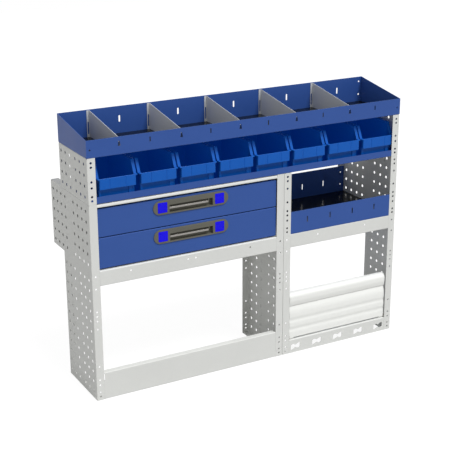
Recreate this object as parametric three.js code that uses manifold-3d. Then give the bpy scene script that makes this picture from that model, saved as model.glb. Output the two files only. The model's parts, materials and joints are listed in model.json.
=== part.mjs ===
// Van shelving unit: perforated sheet-steel frames that carry trays, bins, two drawers and a tip-out flap.
// Millimetres, +X to the right, +Y to the rear, +Z up. The origin is on the floor, under the middle of the unit.

import * as THREE from 'three';
import { mergeVertices } from 'three/addons/utils/BufferGeometryUtils.js';
import Module from 'manifold-3d';

const wasm = await Module();
wasm.setup();

// The whole unit
const BAY_LEFT = 762;
const BAY_RIGHT = 508;
const DEPTH = 254;
const DEPTH_DEEP = 355;
const DEPTH_ARCH = 186;
const DEEP_FROM = 482;
const LOWER_TOP = 722;
const UPPER_HEIGHT = 159.4;
const SHEET = 2;
const THIN = 1.5;
const FLANGE = 30;
const FIT = 0.3;
const OVERRUN = 5;

const WIDTH = BAY_LEFT + BAY_RIGHT;
const UPPER_FROM = LOWER_TOP + FIT;
const UPPER_TOP = UPPER_FROM + UPPER_HEIGHT;
const RIGHT_FROM = BAY_LEFT + FIT;

// Perforation of the frames: round holes on a square pitch, set out from each edge
const PITCH = 38;
const HOLE_RADIUS = 5.5;
const HOLE_SIDES = 6;
const HOLE_FROM_FRONT = 28;
const HOLE_FROM_REAR = 22;
const HOLE_FROM_TOP = 22;
const ROW_FROM_FLOOR = 29;
const ROW_FROM_STEP = 22.5;
const ROW_FROM_SEAM = 22;
const BOLT_RADIUS = 3.4;
const BOLT_SIDES = 4;
const BOLT_LINE_SHARE = 0.48;
const LOWER_BOLT_SHARES = [0.019, 0.042, 0.08, 0.107, 0.179, 0.375, 0.417, 0.441, 0.465, 0.582, 0.644];
const DEEP_BOLT_SHARES = [0.686, 0.707, 0.748, 0.776, 0.799, 0.846, 0.918, 0.958, 0.98];
const UPPER_BOLT_SHARES = [0.08, 0.17, 0.36, 0.49, 0.805, 0.9];

// Top tray, its mat and its dividers
const TOP_LIP = 61;
const TOP_BACK = 101;
const SLOT_BAYS = 11;
const SLOT_WIDTH = 4;
const SLOT_HEIGHT = 18;
const SLOT_RISE = 29;
const BACK_SLOT_WIDTH = 6.5;
const BACK_SLOT_HEIGHT = 23.6;
const BACK_SLOT_RISE = 44;
const CORNER_HOLE_INSET = 13;
const LIP_HOLE_RISE = 27.5;
const BACK_HOLE_RISES = [31.5, 82.5];
const MAT = 2;
const MAT_EDGE = 0.8;
const DIVIDER_FLANGE = 9;
const DIVIDER_DROP = 2;
const DIVIDER_SLOT_WIDTH = 4;
const DIVIDER_SLOT_HEIGHT = 44;
const DIVIDER_SLOT_RISE = 10;

// Bin tray and the hopper bins that stand in it
const BIN_LIP = 24;
const BIN_COUNT = 8;
const BIN_PITCH = 152.3;
const BIN_ROW_SHIFT = 9.05;
const BIN_BODY = 134;
const BIN_RIM = 6.5;
const BIN_RIM_THICK = 3;
const BIN_DEPTH = 235;
const BIN_HEIGHT = 125;
const BIN_WALL = 2.5;
const BIN_SETBACK = 5;
const BIN_FRONT = 80.5;
const BIN_BAND = 37.5;
const BIN_RECESS = 13;
const BIN_LEDGE = 11;
const BIN_CHEEK_RUN = 23;

// Cross rails, kick panel and kick rail
const LEFT_RAIL_TOP = 484;
const LEFT_RAIL_HEIGHT = 55.5;
const RIGHT_RAIL_HEIGHT = 52.5;
const RAIL_FLANGE = 30;
const RAIL_RETURN = 15;
const RAIL_HOLE_DROP = 19;
const RAIL_HOLE_SHARES = [0.165, 0.48, 0.524, 0.84];
const RIGHT_RAIL_HOLE_SHARES = [0.27, 0.75];
const KICK_HEIGHT = 101.5;
const KICK_FLANGE = 22;
const KICK_RAIL_HEIGHT = 54.5;
const KICK_RAIL_FLANGE = 25;
const TIE_COUNT = 5;
const TIE_PITCH = 97;
const TIE_RISE = 25;
const TIE_LENGTH = 40;
const TIE_HEIGHT = 20;
const TIE_NECK = 9;
const TIE_END_SHARE = 0.5;
const TIE_TILT_SHARE = 0.15;

// Right tray
const TRAY_LIP = 85.7;
const TRAY_BACK = 109.7;
const TRAY_SLOT_PITCH = 101;
const TRAY_SLOT_COUNT = 4;
const TRAY_SLOT_HEIGHT = 23;
const TRAY_SLOT_RISE = 37;
const TRAY_HOLE_INSET = 15;
const TRAY_HOLE_RISES = [33, 84];

// Drawer cabinet and drawers
const CABINET_TOP_GAP = 11;
const CABINET_GUSSET = 3;
const FRONT_SETBACK = 5;
const FRONT_DEPTH = 16;
const FRONT_LIP = 13;
const FRONT_REVEAL = 1;
const FRONT_BOTTOM_GAP = 4.5;
const FRONT_HEIGHT = 109.7;
const FRONT_TOP_GAP = 9;
const FRONT_GAP = 3;
const BOX_RISE = 6;
const BOX_HEADROOM = 13;
const BOX_DEPTH = 313;
const RUNNER_HEIGHT = 45;
const RUNNER_WIDTH = 12.7;
const RUNNER_SHEET = 1.2;
const RUNNER_RISE = 12;
const RUNNER_SETBACK = 3;
const RUNNER_LENGTH = 308;

// Drawer handle: a bezel with a finger cup, a sprung lever and two screw caps
const HANDLE_WIDTH = 294;
const HANDLE_HEIGHT = 51;
const HANDLE_SHIFT = 2.5;
const HANDLE_FROM_TOP = 33.1;
const HANDLE_UPPER_FROM_TOP = 31.7;
const HANDLE_THICK = 3;
const HANDLE_END_STEPS = 6;
const CUP_WIDTH = 169;
const CUP_HEIGHT = 28;
const CUP_DROP = 7.5;
const CUP_WALL = 2;
const CUP_DEPTH = 18.5;
const CAP_WIDTH = 36;
const CAP_HEIGHT = 37;
const CAP_THICK = 1.8;
const CAP_POCKET = 1.5;
const CAP_FROM_END = 35.5;
const LEVER_WIDTH = 151;
const LEVER_HEIGHT = 7;
const LEVER_DROP = 7.3;
const LEVER_THICK = 2.6;
const LEVER_LIP_THICK = 1.8;
const LEVER_LIP = 7;
const LEVER_SETBACK = 0.5;
const TRUNNION_RADIUS = 1.2;
const TRUNNION_DROP = 1.4;
const LUG_WIDTH = 2.5;
const LUG_REACH = 2;
const ROUND_SIDES = 12;

// Tip-out flap of ribbed aluminium profile
const FLAP_GAP = 3.4;
const FLAP_FROM = 61;
const FLAP_SETBACK = 4.5;
const FLAP_WALL = 2.5;
const FLAP_HEIGHT = 130;
const FLAP_VALLEYS = [33.5, 71];
const FLAP_VALLEY_REACH = 10.5;
const FLAP_VALLEY_DEPTH = 2;
const FLAP_BEND_FROM = 100;
const FLAP_BEND_TO = 111;
const FLAP_BEND_DEPTH = 1.2;
const FLAP_SHOULDER = 5.9;
const GRIP_SETBACK = 3.5;
const GRIP_RADIUS = 18;
const GRIP_DEPTH = 32;
const GRIP_HEIGHT = 51;
const GRIP_FLAT = 15;
const GRIP_UNDERCUT = 3.8;
const GRIP_STEPS = 7;
const GRIP_SWEEP = 2 * Math.PI / 3;
const PIN_RADIUS = 2;
const PIN_REACH = 12;
const PIN_RISE = -1;
const BEAD_RADIUS = 4;
const BEAD_INSET = 1;
const BEAD_LENGTH = 18;
const EAR_THICK = 2;
const EAR_GAP = 0.6;
const EAR_DEPTH = 24;
const EAR_HEIGHT = 16;
const FOOT_LENGTH = 20;
const FOOT_DEPTH = 12;
const FOOT_SHEET = 1.5;

function finish(colour, roughness, metalness) {
  return () => new THREE.MeshStandardMaterial({ color: colour, roughness, metalness });
}

const greyPaint = finish(0xd5d6d1, 0.5, 0);
const bluePaint = finish(0x3c5896, 0.45, 0);
const binPlastic = finish(0x1f5cb4, 0.4, 0);
const rubber = finish(0x1c1d1c, 0.9, 0);
const dividerPaint = finish(0x9a9ca0, 0.5, 0);
const handlePlastic = finish(0x62615a, 0.55, 0);
const capPlastic = finish(0x190aeb, 0.35, 0);
const zincSteel = finish(0xb8bcc0, 0.35, 1);
const flapAluminium = finish(0xf2f3f0, 0.4, 0.2);

const model = new THREE.Group();
const rack = new THREE.Group();
rack.position.set(-WIDTH / 2, -DEPTH_DEEP / 2, 0);
model.add(rack);

// A closed three.js geometry as a manifold solid
function solid(geometry) {
  geometry.deleteAttribute('normal');
  geometry.deleteAttribute('uv');
  const merged = mergeVertices(geometry);
  return new wasm.Manifold(new wasm.Mesh({
    numProp: 3,
    vertProperties: new Float32Array(merged.attributes.position.array),
    triVerts: new Uint32Array(merged.index.array),
  }));
}

function box([x0, x1], [y0, y1], [z0, z1]) {
  const geometry = new THREE.BoxGeometry(x1 - x0, y1 - y0, z1 - z0);
  geometry.translate((x0 + x1) / 2, (y0 + y1) / 2, (z0 + z1) / 2);
  return solid(geometry);
}

function prisms(outlines, depth) {
  const shapes = outlines.map((outline) => new THREE.Shape(outline.map(([u, v]) => new THREE.Vector2(u, v))));
  return new THREE.ExtrudeGeometry(shapes, { depth, bevelEnabled: false });
}

// Outlines in (y, z), carried from x0 to x1
function prismsX(outlines, [x0, x1]) {
  const turn = new THREE.Matrix4().set(0, 0, 1, x0, 1, 0, 0, 0, 0, 1, 0, 0, 0, 0, 0, 1);
  return solid(prisms(outlines, x1 - x0).applyMatrix4(turn));
}

// Outlines in (x, z), carried from y1 back to y0
function prismsY(outlines, [y0, y1]) {
  const turn = new THREE.Matrix4().set(1, 0, 0, 0, 0, 0, -1, y1, 0, 1, 0, 0, 0, 0, 0, 1);
  return solid(prisms(outlines, y1 - y0).applyMatrix4(turn));
}

// Outlines in (x, y), carried from z0 to z1
function prismsZ(outlines, [z0, z1]) {
  return solid(prisms(outlines, z1 - z0).translate(0, 0, z0));
}

function pierced(carry, outline, range, holes) {
  const plate = carry([outline], range);
  return holes.length ? plate.subtract(carry(holes, grown(range, OVERRUN))) : plate;
}

function plateX(outline, range, holes = []) {
  return pierced(prismsX, outline, range, holes);
}

function plateY(outline, range, holes = []) {
  return pierced(prismsY, outline, range, holes);
}

function plateZ(outline, range, holes = []) {
  return pierced(prismsZ, outline, range, holes);
}

function grown([a, b], by) {
  return [a - by, b + by];
}

function rectangle([u0, u1], [v0, v1]) {
  return [[u0, v0], [u1, v0], [u1, v1], [u0, v1]];
}

function centred(u, v, width, height) {
  return rectangle([u - width / 2, u + width / 2], [v - height / 2, v + height / 2]);
}

function ring(u, v, radius, sides) {
  const points = [];
  for (let i = 0; i < sides; i += 1) {
    const angle = 2 * Math.PI * i / sides;
    points.push([u + radius * Math.cos(angle), v + radius * Math.sin(angle)]);
  }
  return points;
}

function part(name, piece, material, [x, y, z] = [0, 0, 0]) {
  const { vertProperties, triVerts } = piece.getMesh();
  const geometry = new THREE.BufferGeometry();
  geometry.setAttribute('position', new THREE.BufferAttribute(new Float32Array(vertProperties), 3));
  geometry.setIndex(new THREE.BufferAttribute(new Uint32Array(triVerts), 1));
  geometry.computeVertexNormals();
  const mesh = new THREE.Mesh(geometry, material());
  mesh.name = name;
  mesh.position.set(x, y, z);
  rack.add(mesh);
}

// The lengths from a to b on the inner side of a frame, which faces +X or -X
function inward(side, a, b) {
  return side > 0 ? [a, b] : [-b, -a];
}

// Hole columns: a group from the front edge and, on a split panel, a group from the rear edge
function columns(depth, split) {
  const places = [];
  const frontEnd = split ? depth / 2 - PITCH / 4 : depth - HOLE_FROM_REAR;
  for (let y = HOLE_FROM_FRONT; y < frontEnd; y += PITCH) places.push(y);
  const rearEnd = split ? depth / 2 + PITCH / 4 : depth;
  for (let y = depth - HOLE_FROM_REAR; y > rearEnd; y -= PITCH) places.push(y);
  return places;
}

function rows(first, top) {
  const places = [];
  for (let z = first; z < top - HOLE_FROM_TOP; z += PITCH) places.push(z);
  return places;
}

function perforation(ys, zs) {
  return ys.flatMap((y) => zs.map((z) => ring(y, z, HOLE_RADIUS, HOLE_SIDES)));
}

function boltHoles(side, heights) {
  const across = side * FLANGE * BOLT_LINE_SHARE;
  return prismsY(heights.map((z) => ring(across, z, BOLT_RADIUS, BOLT_SIDES)), [-OVERRUN, SHEET + OVERRUN]);
}

// A lower frame: a web that steps back over the wheel arch, with flanges turned in on its edges
function lowerFrame(side, depth, split, rearFlange, boltShares) {
  const outline = [
    [0, 0], [depth, 0], [depth, DEEP_FROM], [DEPTH_DEEP, DEEP_FROM], [DEPTH_DEEP, LOWER_TOP], [0, LOWER_TOP],
  ];
  const rear = rearFlange ? depth - SHEET : depth + OVERRUN;
  const step = DEEP_FROM + SHEET;
  const hollow = [[SHEET, SHEET], [rear, SHEET], [rear, rearFlange ? step : DEEP_FROM / 2]];
  if (!rearFlange) hollow.push([depth, DEEP_FROM / 2], [depth, step]);
  hollow.push(
    [DEPTH_DEEP - SHEET, step], [DEPTH_DEEP - SHEET, LOWER_TOP - SHEET], [SHEET, LOWER_TOP - SHEET],
  );
  const holes = [
    ...perforation(columns(depth, split), rows(ROW_FROM_FLOOR, DEEP_FROM)),
    ...perforation(columns(DEPTH_DEEP, true), rows(DEEP_FROM + ROW_FROM_STEP, LOWER_TOP)),
  ];
  return plateX(outline, inward(side, 0, FLANGE))
    .subtract(plateX(hollow, inward(side, SHEET, FLANGE + OVERRUN)))
    .subtract(prismsX(holes, inward(side, -OVERRUN, SHEET + OVERRUN)))
    .subtract(boltHoles(side, boltShares.map((share) => share * LOWER_TOP)));
}

function upperFrame(side) {
  const hollow = rectangle([SHEET, DEPTH - SHEET], [UPPER_FROM - OVERRUN, UPPER_TOP - SHEET]);
  const holes = perforation(columns(DEPTH, true), rows(UPPER_FROM + ROW_FROM_SEAM, UPPER_TOP));
  return plateX(rectangle([0, DEPTH], [UPPER_FROM, UPPER_TOP]), inward(side, 0, FLANGE))
    .subtract(plateX(hollow, inward(side, SHEET, FLANGE + OVERRUN)))
    .subtract(prismsX(holes, inward(side, -OVERRUN, SHEET + OVERRUN)))
    .subtract(boltHoles(side, UPPER_BOLT_SHARES.map((share) => UPPER_FROM + share * UPPER_HEIGHT)));
}

const deepBolts = [...LOWER_BOLT_SHARES, ...DEEP_BOLT_SHARES];
part('lower_frame_left', lowerFrame(1, DEPTH, true, true, LOWER_BOLT_SHARES), greyPaint);
part('lower_frame_mid_left', lowerFrame(-1, DEPTH, true, true, LOWER_BOLT_SHARES), greyPaint, [BAY_LEFT, 0, 0]);
part('lower_frame_mid_right', lowerFrame(1, DEPTH_ARCH, false, false, deepBolts), greyPaint, [RIGHT_FROM, 0, 0]);
part('lower_frame_right', lowerFrame(-1, DEPTH_ARCH, false, false, deepBolts), greyPaint, [WIDTH, 0, 0]);
part('upper_frame_left', upperFrame(1), greyPaint);
part('upper_frame_right', upperFrame(-1), greyPaint, [WIDTH, 0, 0]);

// Top tray: floor, front lip, back wall and two sides that slope from one to the other
const TOP_FROM = UPPER_TOP + FIT;
const slotPlaces = [];
for (let i = 1; i < SLOT_BAYS; i += 1) slotPlaces.push(i * WIDTH / SLOT_BAYS);
const lipSlots = slotPlaces.map((x) => centred(x, TOP_FROM + SLOT_RISE + SLOT_HEIGHT / 2, SLOT_WIDTH, SLOT_HEIGHT));
const backSlotMiddle = TOP_FROM + BACK_SLOT_RISE + BACK_SLOT_HEIGHT / 2;
const openPlaces = slotPlaces.filter((x, i) => i % 2 === 1);
const backSlots = openPlaces.map((x) => centred(x, backSlotMiddle, BACK_SLOT_WIDTH, BACK_SLOT_HEIGHT));
const topCorners = [CORNER_HOLE_INSET, WIDTH - CORNER_HOLE_INSET];
const lipHoles = topCorners.map((x) => ring(x, TOP_FROM + LIP_HOLE_RISE, BOLT_RADIUS, BOLT_SIDES));
const backHoles = topCorners.flatMap((x) => (
  BACK_HOLE_RISES.map((rise) => ring(x, TOP_FROM + rise, BOLT_RADIUS, BOLT_SIDES))
));
const topSide = [[0, TOP_FROM], [DEPTH, TOP_FROM], [DEPTH, TOP_FROM + TOP_BACK], [0, TOP_FROM + TOP_LIP]];
const topTray = plateX(topSide, [0, WIDTH])
  .subtract(box([THIN, WIDTH - THIN], [THIN, DEPTH - THIN], [TOP_FROM + THIN, TOP_FROM + TOP_BACK + OVERRUN]))
  .subtract(prismsY([...lipSlots, ...lipHoles], [-OVERRUN, THIN + OVERRUN]))
  .subtract(prismsY([...backSlots, ...backHoles], [DEPTH - THIN - OVERRUN, DEPTH + OVERRUN]));
part('top_tray', topTray, bluePaint);

const matX = [THIN + MAT_EDGE, WIDTH - THIN - MAT_EDGE];
const matY = [THIN + MAT_EDGE, DEPTH - THIN - MAT_EDGE];
const topMatTop = TOP_FROM + THIN + FIT + MAT;
part('top_tray_mat', box(matX, matY, [topMatTop - MAT, topMatTop]), rubber);

// A divider stands on the mat, with a slotted flange against the back wall
const dividerFrom = topMatTop + FIT;
const dividerRear = DEPTH - THIN - FIT;
const dividerFront = THIN + FIT;
const dividerLip = TOP_FROM + TOP_LIP - DIVIDER_DROP;
const dividerTop = TOP_FROM + TOP_BACK - DIVIDER_DROP;
const dividerPlan = [
  [0, dividerFront], [THIN, dividerFront], [THIN, dividerRear], [-DIVIDER_FLANGE, dividerRear],
  [-DIVIDER_FLANGE, dividerRear - THIN], [0, dividerRear - THIN],
];
const dividerSlope = [
  [dividerFront - OVERRUN, dividerLip - OVERRUN * (TOP_BACK - TOP_LIP) / DEPTH],
  [dividerRear - THIN, dividerTop], [dividerRear + OVERRUN, dividerTop],
  [dividerRear + OVERRUN, dividerTop + OVERRUN], [dividerFront - OVERRUN, dividerTop + OVERRUN],
];
const dividerSlot = centred(
  (THIN - DIVIDER_FLANGE) / 2,
  dividerFrom + DIVIDER_SLOT_RISE + DIVIDER_SLOT_HEIGHT / 2,
  DIVIDER_SLOT_WIDTH,
  DIVIDER_SLOT_HEIGHT,
);
const divider = plateZ(dividerPlan, [dividerFrom, dividerTop + OVERRUN / 2])
  .subtract(plateX(dividerSlope, [-DIVIDER_FLANGE - OVERRUN, THIN + OVERRUN]))
  .subtract(plateY(dividerSlot, [dividerRear - THIN - OVERRUN, dividerRear + OVERRUN]));
slotPlaces.filter((x, i) => i % 2 === 0).forEach((x, i) => {
  part(`top_divider_${i + 1}`, divider, dividerPaint, [x + THIN / 2, 0, 0]);
});

// Bin tray: its floor lies on the lower frames, and its lips pass between the frames' flanges
const clear = SHEET + FIT;
const binTrayLow = LOWER_TOP + FIT;
const lipInset = FLANGE + FIT;
function binTrayPlan(inset) {
  const lip = lipInset + inset;
  const web = clear + inset;
  const notch = clear + inset;
  return [
    [lip, inset], [WIDTH - lip, inset], [WIDTH - lip, notch], [WIDTH - web, notch],
    [WIDTH - web, DEPTH - notch], [WIDTH - lip, DEPTH - notch], [WIDTH - lip, DEPTH - inset],
    [lip, DEPTH - inset], [lip, DEPTH - notch], [web, DEPTH - notch], [web, notch], [lip, notch],
  ];
}

const binTray = plateZ(binTrayPlan(0), [binTrayLow, binTrayLow + BIN_LIP])
  .subtract(plateZ(binTrayPlan(THIN), [binTrayLow + THIN, binTrayLow + BIN_LIP + OVERRUN]));
part('bin_tray', binTray, bluePaint);

// A hopper bin, about its own middle: an open box with a cut-down front, sloping cheeks and a flared rim
function hopperBin() {
  const low = binTrayLow + THIN + FIT;
  const frontTop = low + BIN_FRONT;
  const top = low + BIN_HEIGHT;
  const front = BIN_SETBACK;
  const rear = front + BIN_DEPTH;
  const half = BIN_BODY / 2;
  const cheek = front + BIN_LEDGE;
  const outer = plateX([
    [front + BIN_RECESS, low], [rear, low], [rear, top], [cheek + BIN_CHEEK_RUN, top],
    [cheek, frontTop], [front, frontTop], [front, frontTop - BIN_BAND], [front + BIN_RECESS, frontTop - BIN_BAND],
  ], [-half - BIN_RIM, half + BIN_RIM]);
  const underRim = [
    [front - OVERRUN, low - OVERRUN], [rear + OVERRUN, low - OVERRUN], [rear + OVERRUN, top - BIN_RIM_THICK],
    [cheek + BIN_CHEEK_RUN + BIN_RIM_THICK / 2, top - BIN_RIM_THICK],
    [cheek + BIN_RIM_THICK, frontTop - BIN_RIM_THICK], [front - OVERRUN, frontTop - BIN_RIM_THICK],
  ];
  const side = [half, half + BIN_RIM + OVERRUN];
  const cavity = plateX([
    [front + BIN_RECESS + BIN_WALL, low + BIN_WALL], [rear - BIN_WALL, low + BIN_WALL],
    [rear - BIN_WALL, top + OVERRUN], [front - OVERRUN, top + OVERRUN],
    [front - OVERRUN, frontTop - FIT], [front + BIN_WALL, frontTop - FIT],
    [front + BIN_WALL, frontTop - BIN_BAND + BIN_WALL],
    [front + BIN_RECESS + BIN_WALL, frontTop - BIN_BAND + BIN_WALL],
  ], [BIN_WALL - half, half - BIN_WALL]);
  return outer
    .subtract(plateX(underRim, inward(1, ...side)))
    .subtract(plateX(underRim, inward(-1, ...side)))
    .subtract(cavity);
}

const bin = hopperBin();
const firstBin = WIDTH / 2 + BIN_ROW_SHIFT - BIN_PITCH * (BIN_COUNT - 1) / 2;
for (let i = 0; i < BIN_COUNT; i += 1) {
  part(`bin_${i + 1}`, bin, binPlastic, [firstBin + i * BIN_PITCH, 0, 0]);
}

// The clear widths between the frames' front flanges, and between their webs
const leftX = [FLANGE + FIT, BAY_LEFT - FLANGE - FIT];
const rightX = [RIGHT_FROM + FLANGE + FIT, WIDTH - FLANGE - FIT];
const leftWebX = [clear, BAY_LEFT - clear];
const rightWebX = [RIGHT_FROM + clear, WIDTH - clear];

// A folded rail along X: a front face with a top flange, and a return below where it has one
function foldedRail(range, [low, top], flange, lowFlange, holes) {
  const section = [[0, low], [lowFlange, low], [lowFlange, low + THIN], [THIN, low + THIN]];
  section.push([THIN, top - THIN], [flange, top - THIN], [flange, top], [0, top]);
  const rail = plateX(section, range);
  return holes.length ? rail.subtract(prismsY(holes, [-OVERRUN, THIN + OVERRUN])) : rail;
}

function crossRail([x0, x1], top, height, holeShares) {
  const holes = holeShares.map((share) => ring(x0 + share * (x1 - x0), top - RAIL_HOLE_DROP, BOLT_RADIUS, BOLT_SIDES));
  return foldedRail([x0, x1], [top - height, top], RAIL_FLANGE, RAIL_RETURN, holes);
}

const rightRailTop = DEEP_FROM + SHEET;
part('left_cross_rail', crossRail(leftX, LEFT_RAIL_TOP, LEFT_RAIL_HEIGHT, RAIL_HOLE_SHARES), greyPaint);
part('right_cross_rail', crossRail(rightX, rightRailTop, RIGHT_RAIL_HEIGHT, RIGHT_RAIL_HOLE_SHARES), greyPaint);

part('kick_panel', foldedRail(leftX, [0, KICK_HEIGHT], KICK_FLANGE, RAIL_RETURN, []), greyPaint);

// A lashing slot: two wide ends and a narrow neck, leaning up to the right
function lashingSlot(x) {
  const end = TIE_LENGTH / 2;
  const shoulder = end * TIE_END_SHARE;
  const lean = TIE_HEIGHT * TIE_TILT_SHARE;
  const z = TIE_RISE;
  return [
    [x - end, z - TIE_HEIGHT / 2 - lean], [x - shoulder, z - TIE_HEIGHT / 2], [x, z - TIE_NECK / 2],
    [x + shoulder, z - TIE_HEIGHT / 2], [x + end, z - TIE_HEIGHT / 2 + lean],
    [x + end, z + TIE_HEIGHT / 2 + lean], [x + shoulder, z + TIE_HEIGHT / 2], [x, z + TIE_NECK / 2],
    [x - shoulder, z + TIE_HEIGHT / 2], [x - end, z + TIE_HEIGHT / 2 - lean],
  ];
}

const tieMiddle = (rightX[0] + rightX[1]) / 2;
const ties = [];
for (let i = 0; i < TIE_COUNT; i += 1) {
  ties.push(lashingSlot(tieMiddle + (i - (TIE_COUNT - 1) / 2) * TIE_PITCH));
}
const kickSection = [
  [0, 0], [THIN, 0], [THIN, KICK_RAIL_HEIGHT - THIN], [KICK_RAIL_FLANGE, KICK_RAIL_HEIGHT - THIN],
  [KICK_RAIL_FLANGE, KICK_RAIL_HEIGHT], [0, KICK_RAIL_HEIGHT],
];
part('kick_rail', plateX(kickSection, rightX).subtract(prismsY(ties, [-OVERRUN, THIN + OVERRUN])), greyPaint);

// Right tray: on the right cross rail in front, and on the frames' step at the rear
const trayLow = rightRailTop + FIT;
const trayRear = DEPTH_DEEP - SHEET - FIT;
const traySlots = [];
for (let i = 0; i < TRAY_SLOT_COUNT; i += 1) {
  const x = tieMiddle + (i - (TRAY_SLOT_COUNT - 1) / 2) * TRAY_SLOT_PITCH;
  traySlots.push(centred(x, trayLow + TRAY_SLOT_RISE + TRAY_SLOT_HEIGHT / 2, SLOT_WIDTH, TRAY_SLOT_HEIGHT));
}
const trayHoles = [rightWebX[0] + TRAY_HOLE_INSET, rightWebX[1] - TRAY_HOLE_INSET].flatMap((x) => (
  TRAY_HOLE_RISES.map((rise) => ring(x, trayLow + rise, BOLT_RADIUS, BOLT_SIDES))
));
const traySection = [
  [0, trayLow], [trayRear, trayLow], [trayRear, trayLow + TRAY_BACK], [trayRear - THIN, trayLow + TRAY_BACK],
  [trayRear - THIN, trayLow + THIN], [THIN, trayLow + THIN], [THIN, trayLow + TRAY_LIP], [0, trayLow + TRAY_LIP],
];
const notchZ = [trayLow - OVERRUN, trayLow + TRAY_LIP + OVERRUN];
const rightTray = plateX(traySection, rightWebX)
  .subtract(box([rightWebX[0] - OVERRUN, rightX[0]], [-OVERRUN, clear], notchZ))
  .subtract(box([rightX[1], rightWebX[1] + OVERRUN], [-OVERRUN, clear], notchZ))
  .subtract(prismsY(traySlots, [-OVERRUN, trayRear + OVERRUN]))
  .subtract(prismsY(trayHoles, [trayRear - THIN - OVERRUN, trayRear + OVERRUN]));
part('right_tray', rightTray, bluePaint);

const rightMatLow = trayLow + THIN + FIT;
const rightMat = box(
  [rightWebX[0] + MAT_EDGE, rightWebX[1] - MAT_EDGE],
  [clear + MAT_EDGE, trayRear - THIN - MAT_EDGE],
  [rightMatLow, rightMatLow + MAT],
);
part('right_tray_mat', rightMat, rubber);

// Drawer cabinet: an open-fronted shell on the left cross rail, with a wide back against the frames
// and a strip that stands up from the front of its top
const cabinetLow = LEFT_RAIL_TOP + FIT;
const cabinetTop = LOWER_TOP - CABINET_TOP_GAP;
const cabinetFront = FRONT_SETBACK + FRONT_DEPTH + FRONT_REVEAL;
const cabinetRear = DEPTH_DEEP - SHEET - FIT;
const cabinetX = leftX;
const ears = cabinetRear - THIN;
const cabinetPlan = [
  [cabinetX[0], 0], [cabinetX[1], 0], [cabinetX[1], ears], [leftWebX[1], ears],
  [leftWebX[1], cabinetRear], [leftWebX[0], cabinetRear], [leftWebX[0], ears], [cabinetX[0], ears],
];
const cabinet = plateZ(cabinetPlan, [cabinetLow, cabinetTop])
  .subtract(box(grown(cabinetX, -THIN), [-OVERRUN, ears], grown([cabinetLow, cabinetTop], -THIN)))
  .subtract(box(
    grown(cabinetX, OVERRUN),
    [-OVERRUN, cabinetFront],
    [cabinetLow - OVERRUN, cabinetTop - CABINET_GUSSET],
  ))
  .add(box(cabinetX, [0, THIN], [cabinetTop - THIN, LOWER_TOP - FIT]));
part('drawer_cabinet', cabinet, greyPaint);

// A drawer runner has three nested channels, the outer on the cabinet and the inner on the drawer
function channel(side, x, height, width, middle, webOnDrawer) {
  const y = [cabinetFront + RUNNER_SETBACK, cabinetFront + RUNNER_SETBACK + RUNNER_LENGTH];
  const low = middle - height / 2;
  const top = middle + height / 2;
  const from = side > 0 ? x : x - width;
  const webAtEnd = (side > 0) === webOnDrawer;
  const back = webAtEnd ? from + width : from;
  const mouth = webAtEnd ? from : from + width;
  const inner = webAtEnd ? back - RUNNER_SHEET : back + RUNNER_SHEET;
  return plateY([
    [back, low], [mouth, low], [mouth, low + RUNNER_SHEET], [inner, low + RUNNER_SHEET],
    [inner, top - RUNNER_SHEET], [mouth, top - RUNNER_SHEET], [mouth, top], [back, top],
  ], y);
}

function runner(name, side, middle) {
  const wall = side > 0 ? cabinetX[0] + THIN : cabinetX[1] - THIN;
  const step = RUNNER_SHEET + FIT;
  const channelWidth = RUNNER_WIDTH - 2 * step;
  const outer = channel(side, wall + side * FIT, RUNNER_HEIGHT, channelWidth, middle, false);
  const midHeight = RUNNER_HEIGHT - 2 * step;
  const mid = channel(side, wall + side * (FIT + step), midHeight, channelWidth, middle, false);
  const innerHeight = midHeight - 2 * step;
  const inner = channel(side, wall + side * (FIT + 2 * step), innerHeight, channelWidth, middle, true);
  part(`${name}_outer`, outer, zincSteel);
  part(`${name}_mid`, mid, zincSteel);
  part(`${name}_inner`, inner, zincSteel);
}

// A drawer box, open at the top, between its two runners
function drawerBox(low, height) {
  const side = THIN + RUNNER_WIDTH + 2 * FIT;
  const x = [cabinetX[0] + side, cabinetX[1] - side];
  const y = [FRONT_SETBACK + FRONT_DEPTH + FIT, FRONT_SETBACK + FRONT_DEPTH + FIT + BOX_DEPTH];
  const z = [low, low + height];
  const cavity = box([x[0] + THIN, x[1] - THIN], [y[0] + THIN, y[1] - THIN], [low + THIN, z[1] + OVERRUN]);
  return box(x, y, z).subtract(cavity);
}

const handleX = (leftX[0] + leftX[1]) / 2 + HANDLE_SHIFT;
const capFromCentre = HANDLE_WIDTH / 2 - CAP_FROM_END;
const handleRear = FRONT_SETBACK - FIT;
const handleFront = handleRear - HANDLE_THICK;
const cupRear = handleFront + CUP_DEPTH;

function cupRanges(middle) {
  const z = middle - CUP_DROP;
  return [
    [handleX - CUP_WIDTH / 2, handleX + CUP_WIDTH / 2],
    [z - CUP_HEIGHT / 2, z + CUP_HEIGHT / 2],
  ];
}

// A drawer front is a folded pan, open at the rear, with a cut-out for the finger cup
function drawerFront(low, height, handleMiddle) {
  const x = leftX;
  const z = [low, low + height];
  const y = [FRONT_SETBACK, FRONT_SETBACK + FRONT_DEPTH];
  const [cupX, cupZ] = cupRanges(handleMiddle);
  return box(x, y, z)
    .subtract(box(grown(x, -THIN), [y[0] + THIN, y[1] - THIN], grown(z, -THIN)))
    .subtract(box(grown(x, -FRONT_LIP), [y[1] - THIN - OVERRUN / 2, y[1] + OVERRUN], grown(z, -FRONT_LIP)))
    .subtract(box(grown(cupX, CUP_WALL + FIT), [y[0] - OVERRUN, y[0] + OVERRUN], grown(cupZ, CUP_WALL + FIT)));
}

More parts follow.
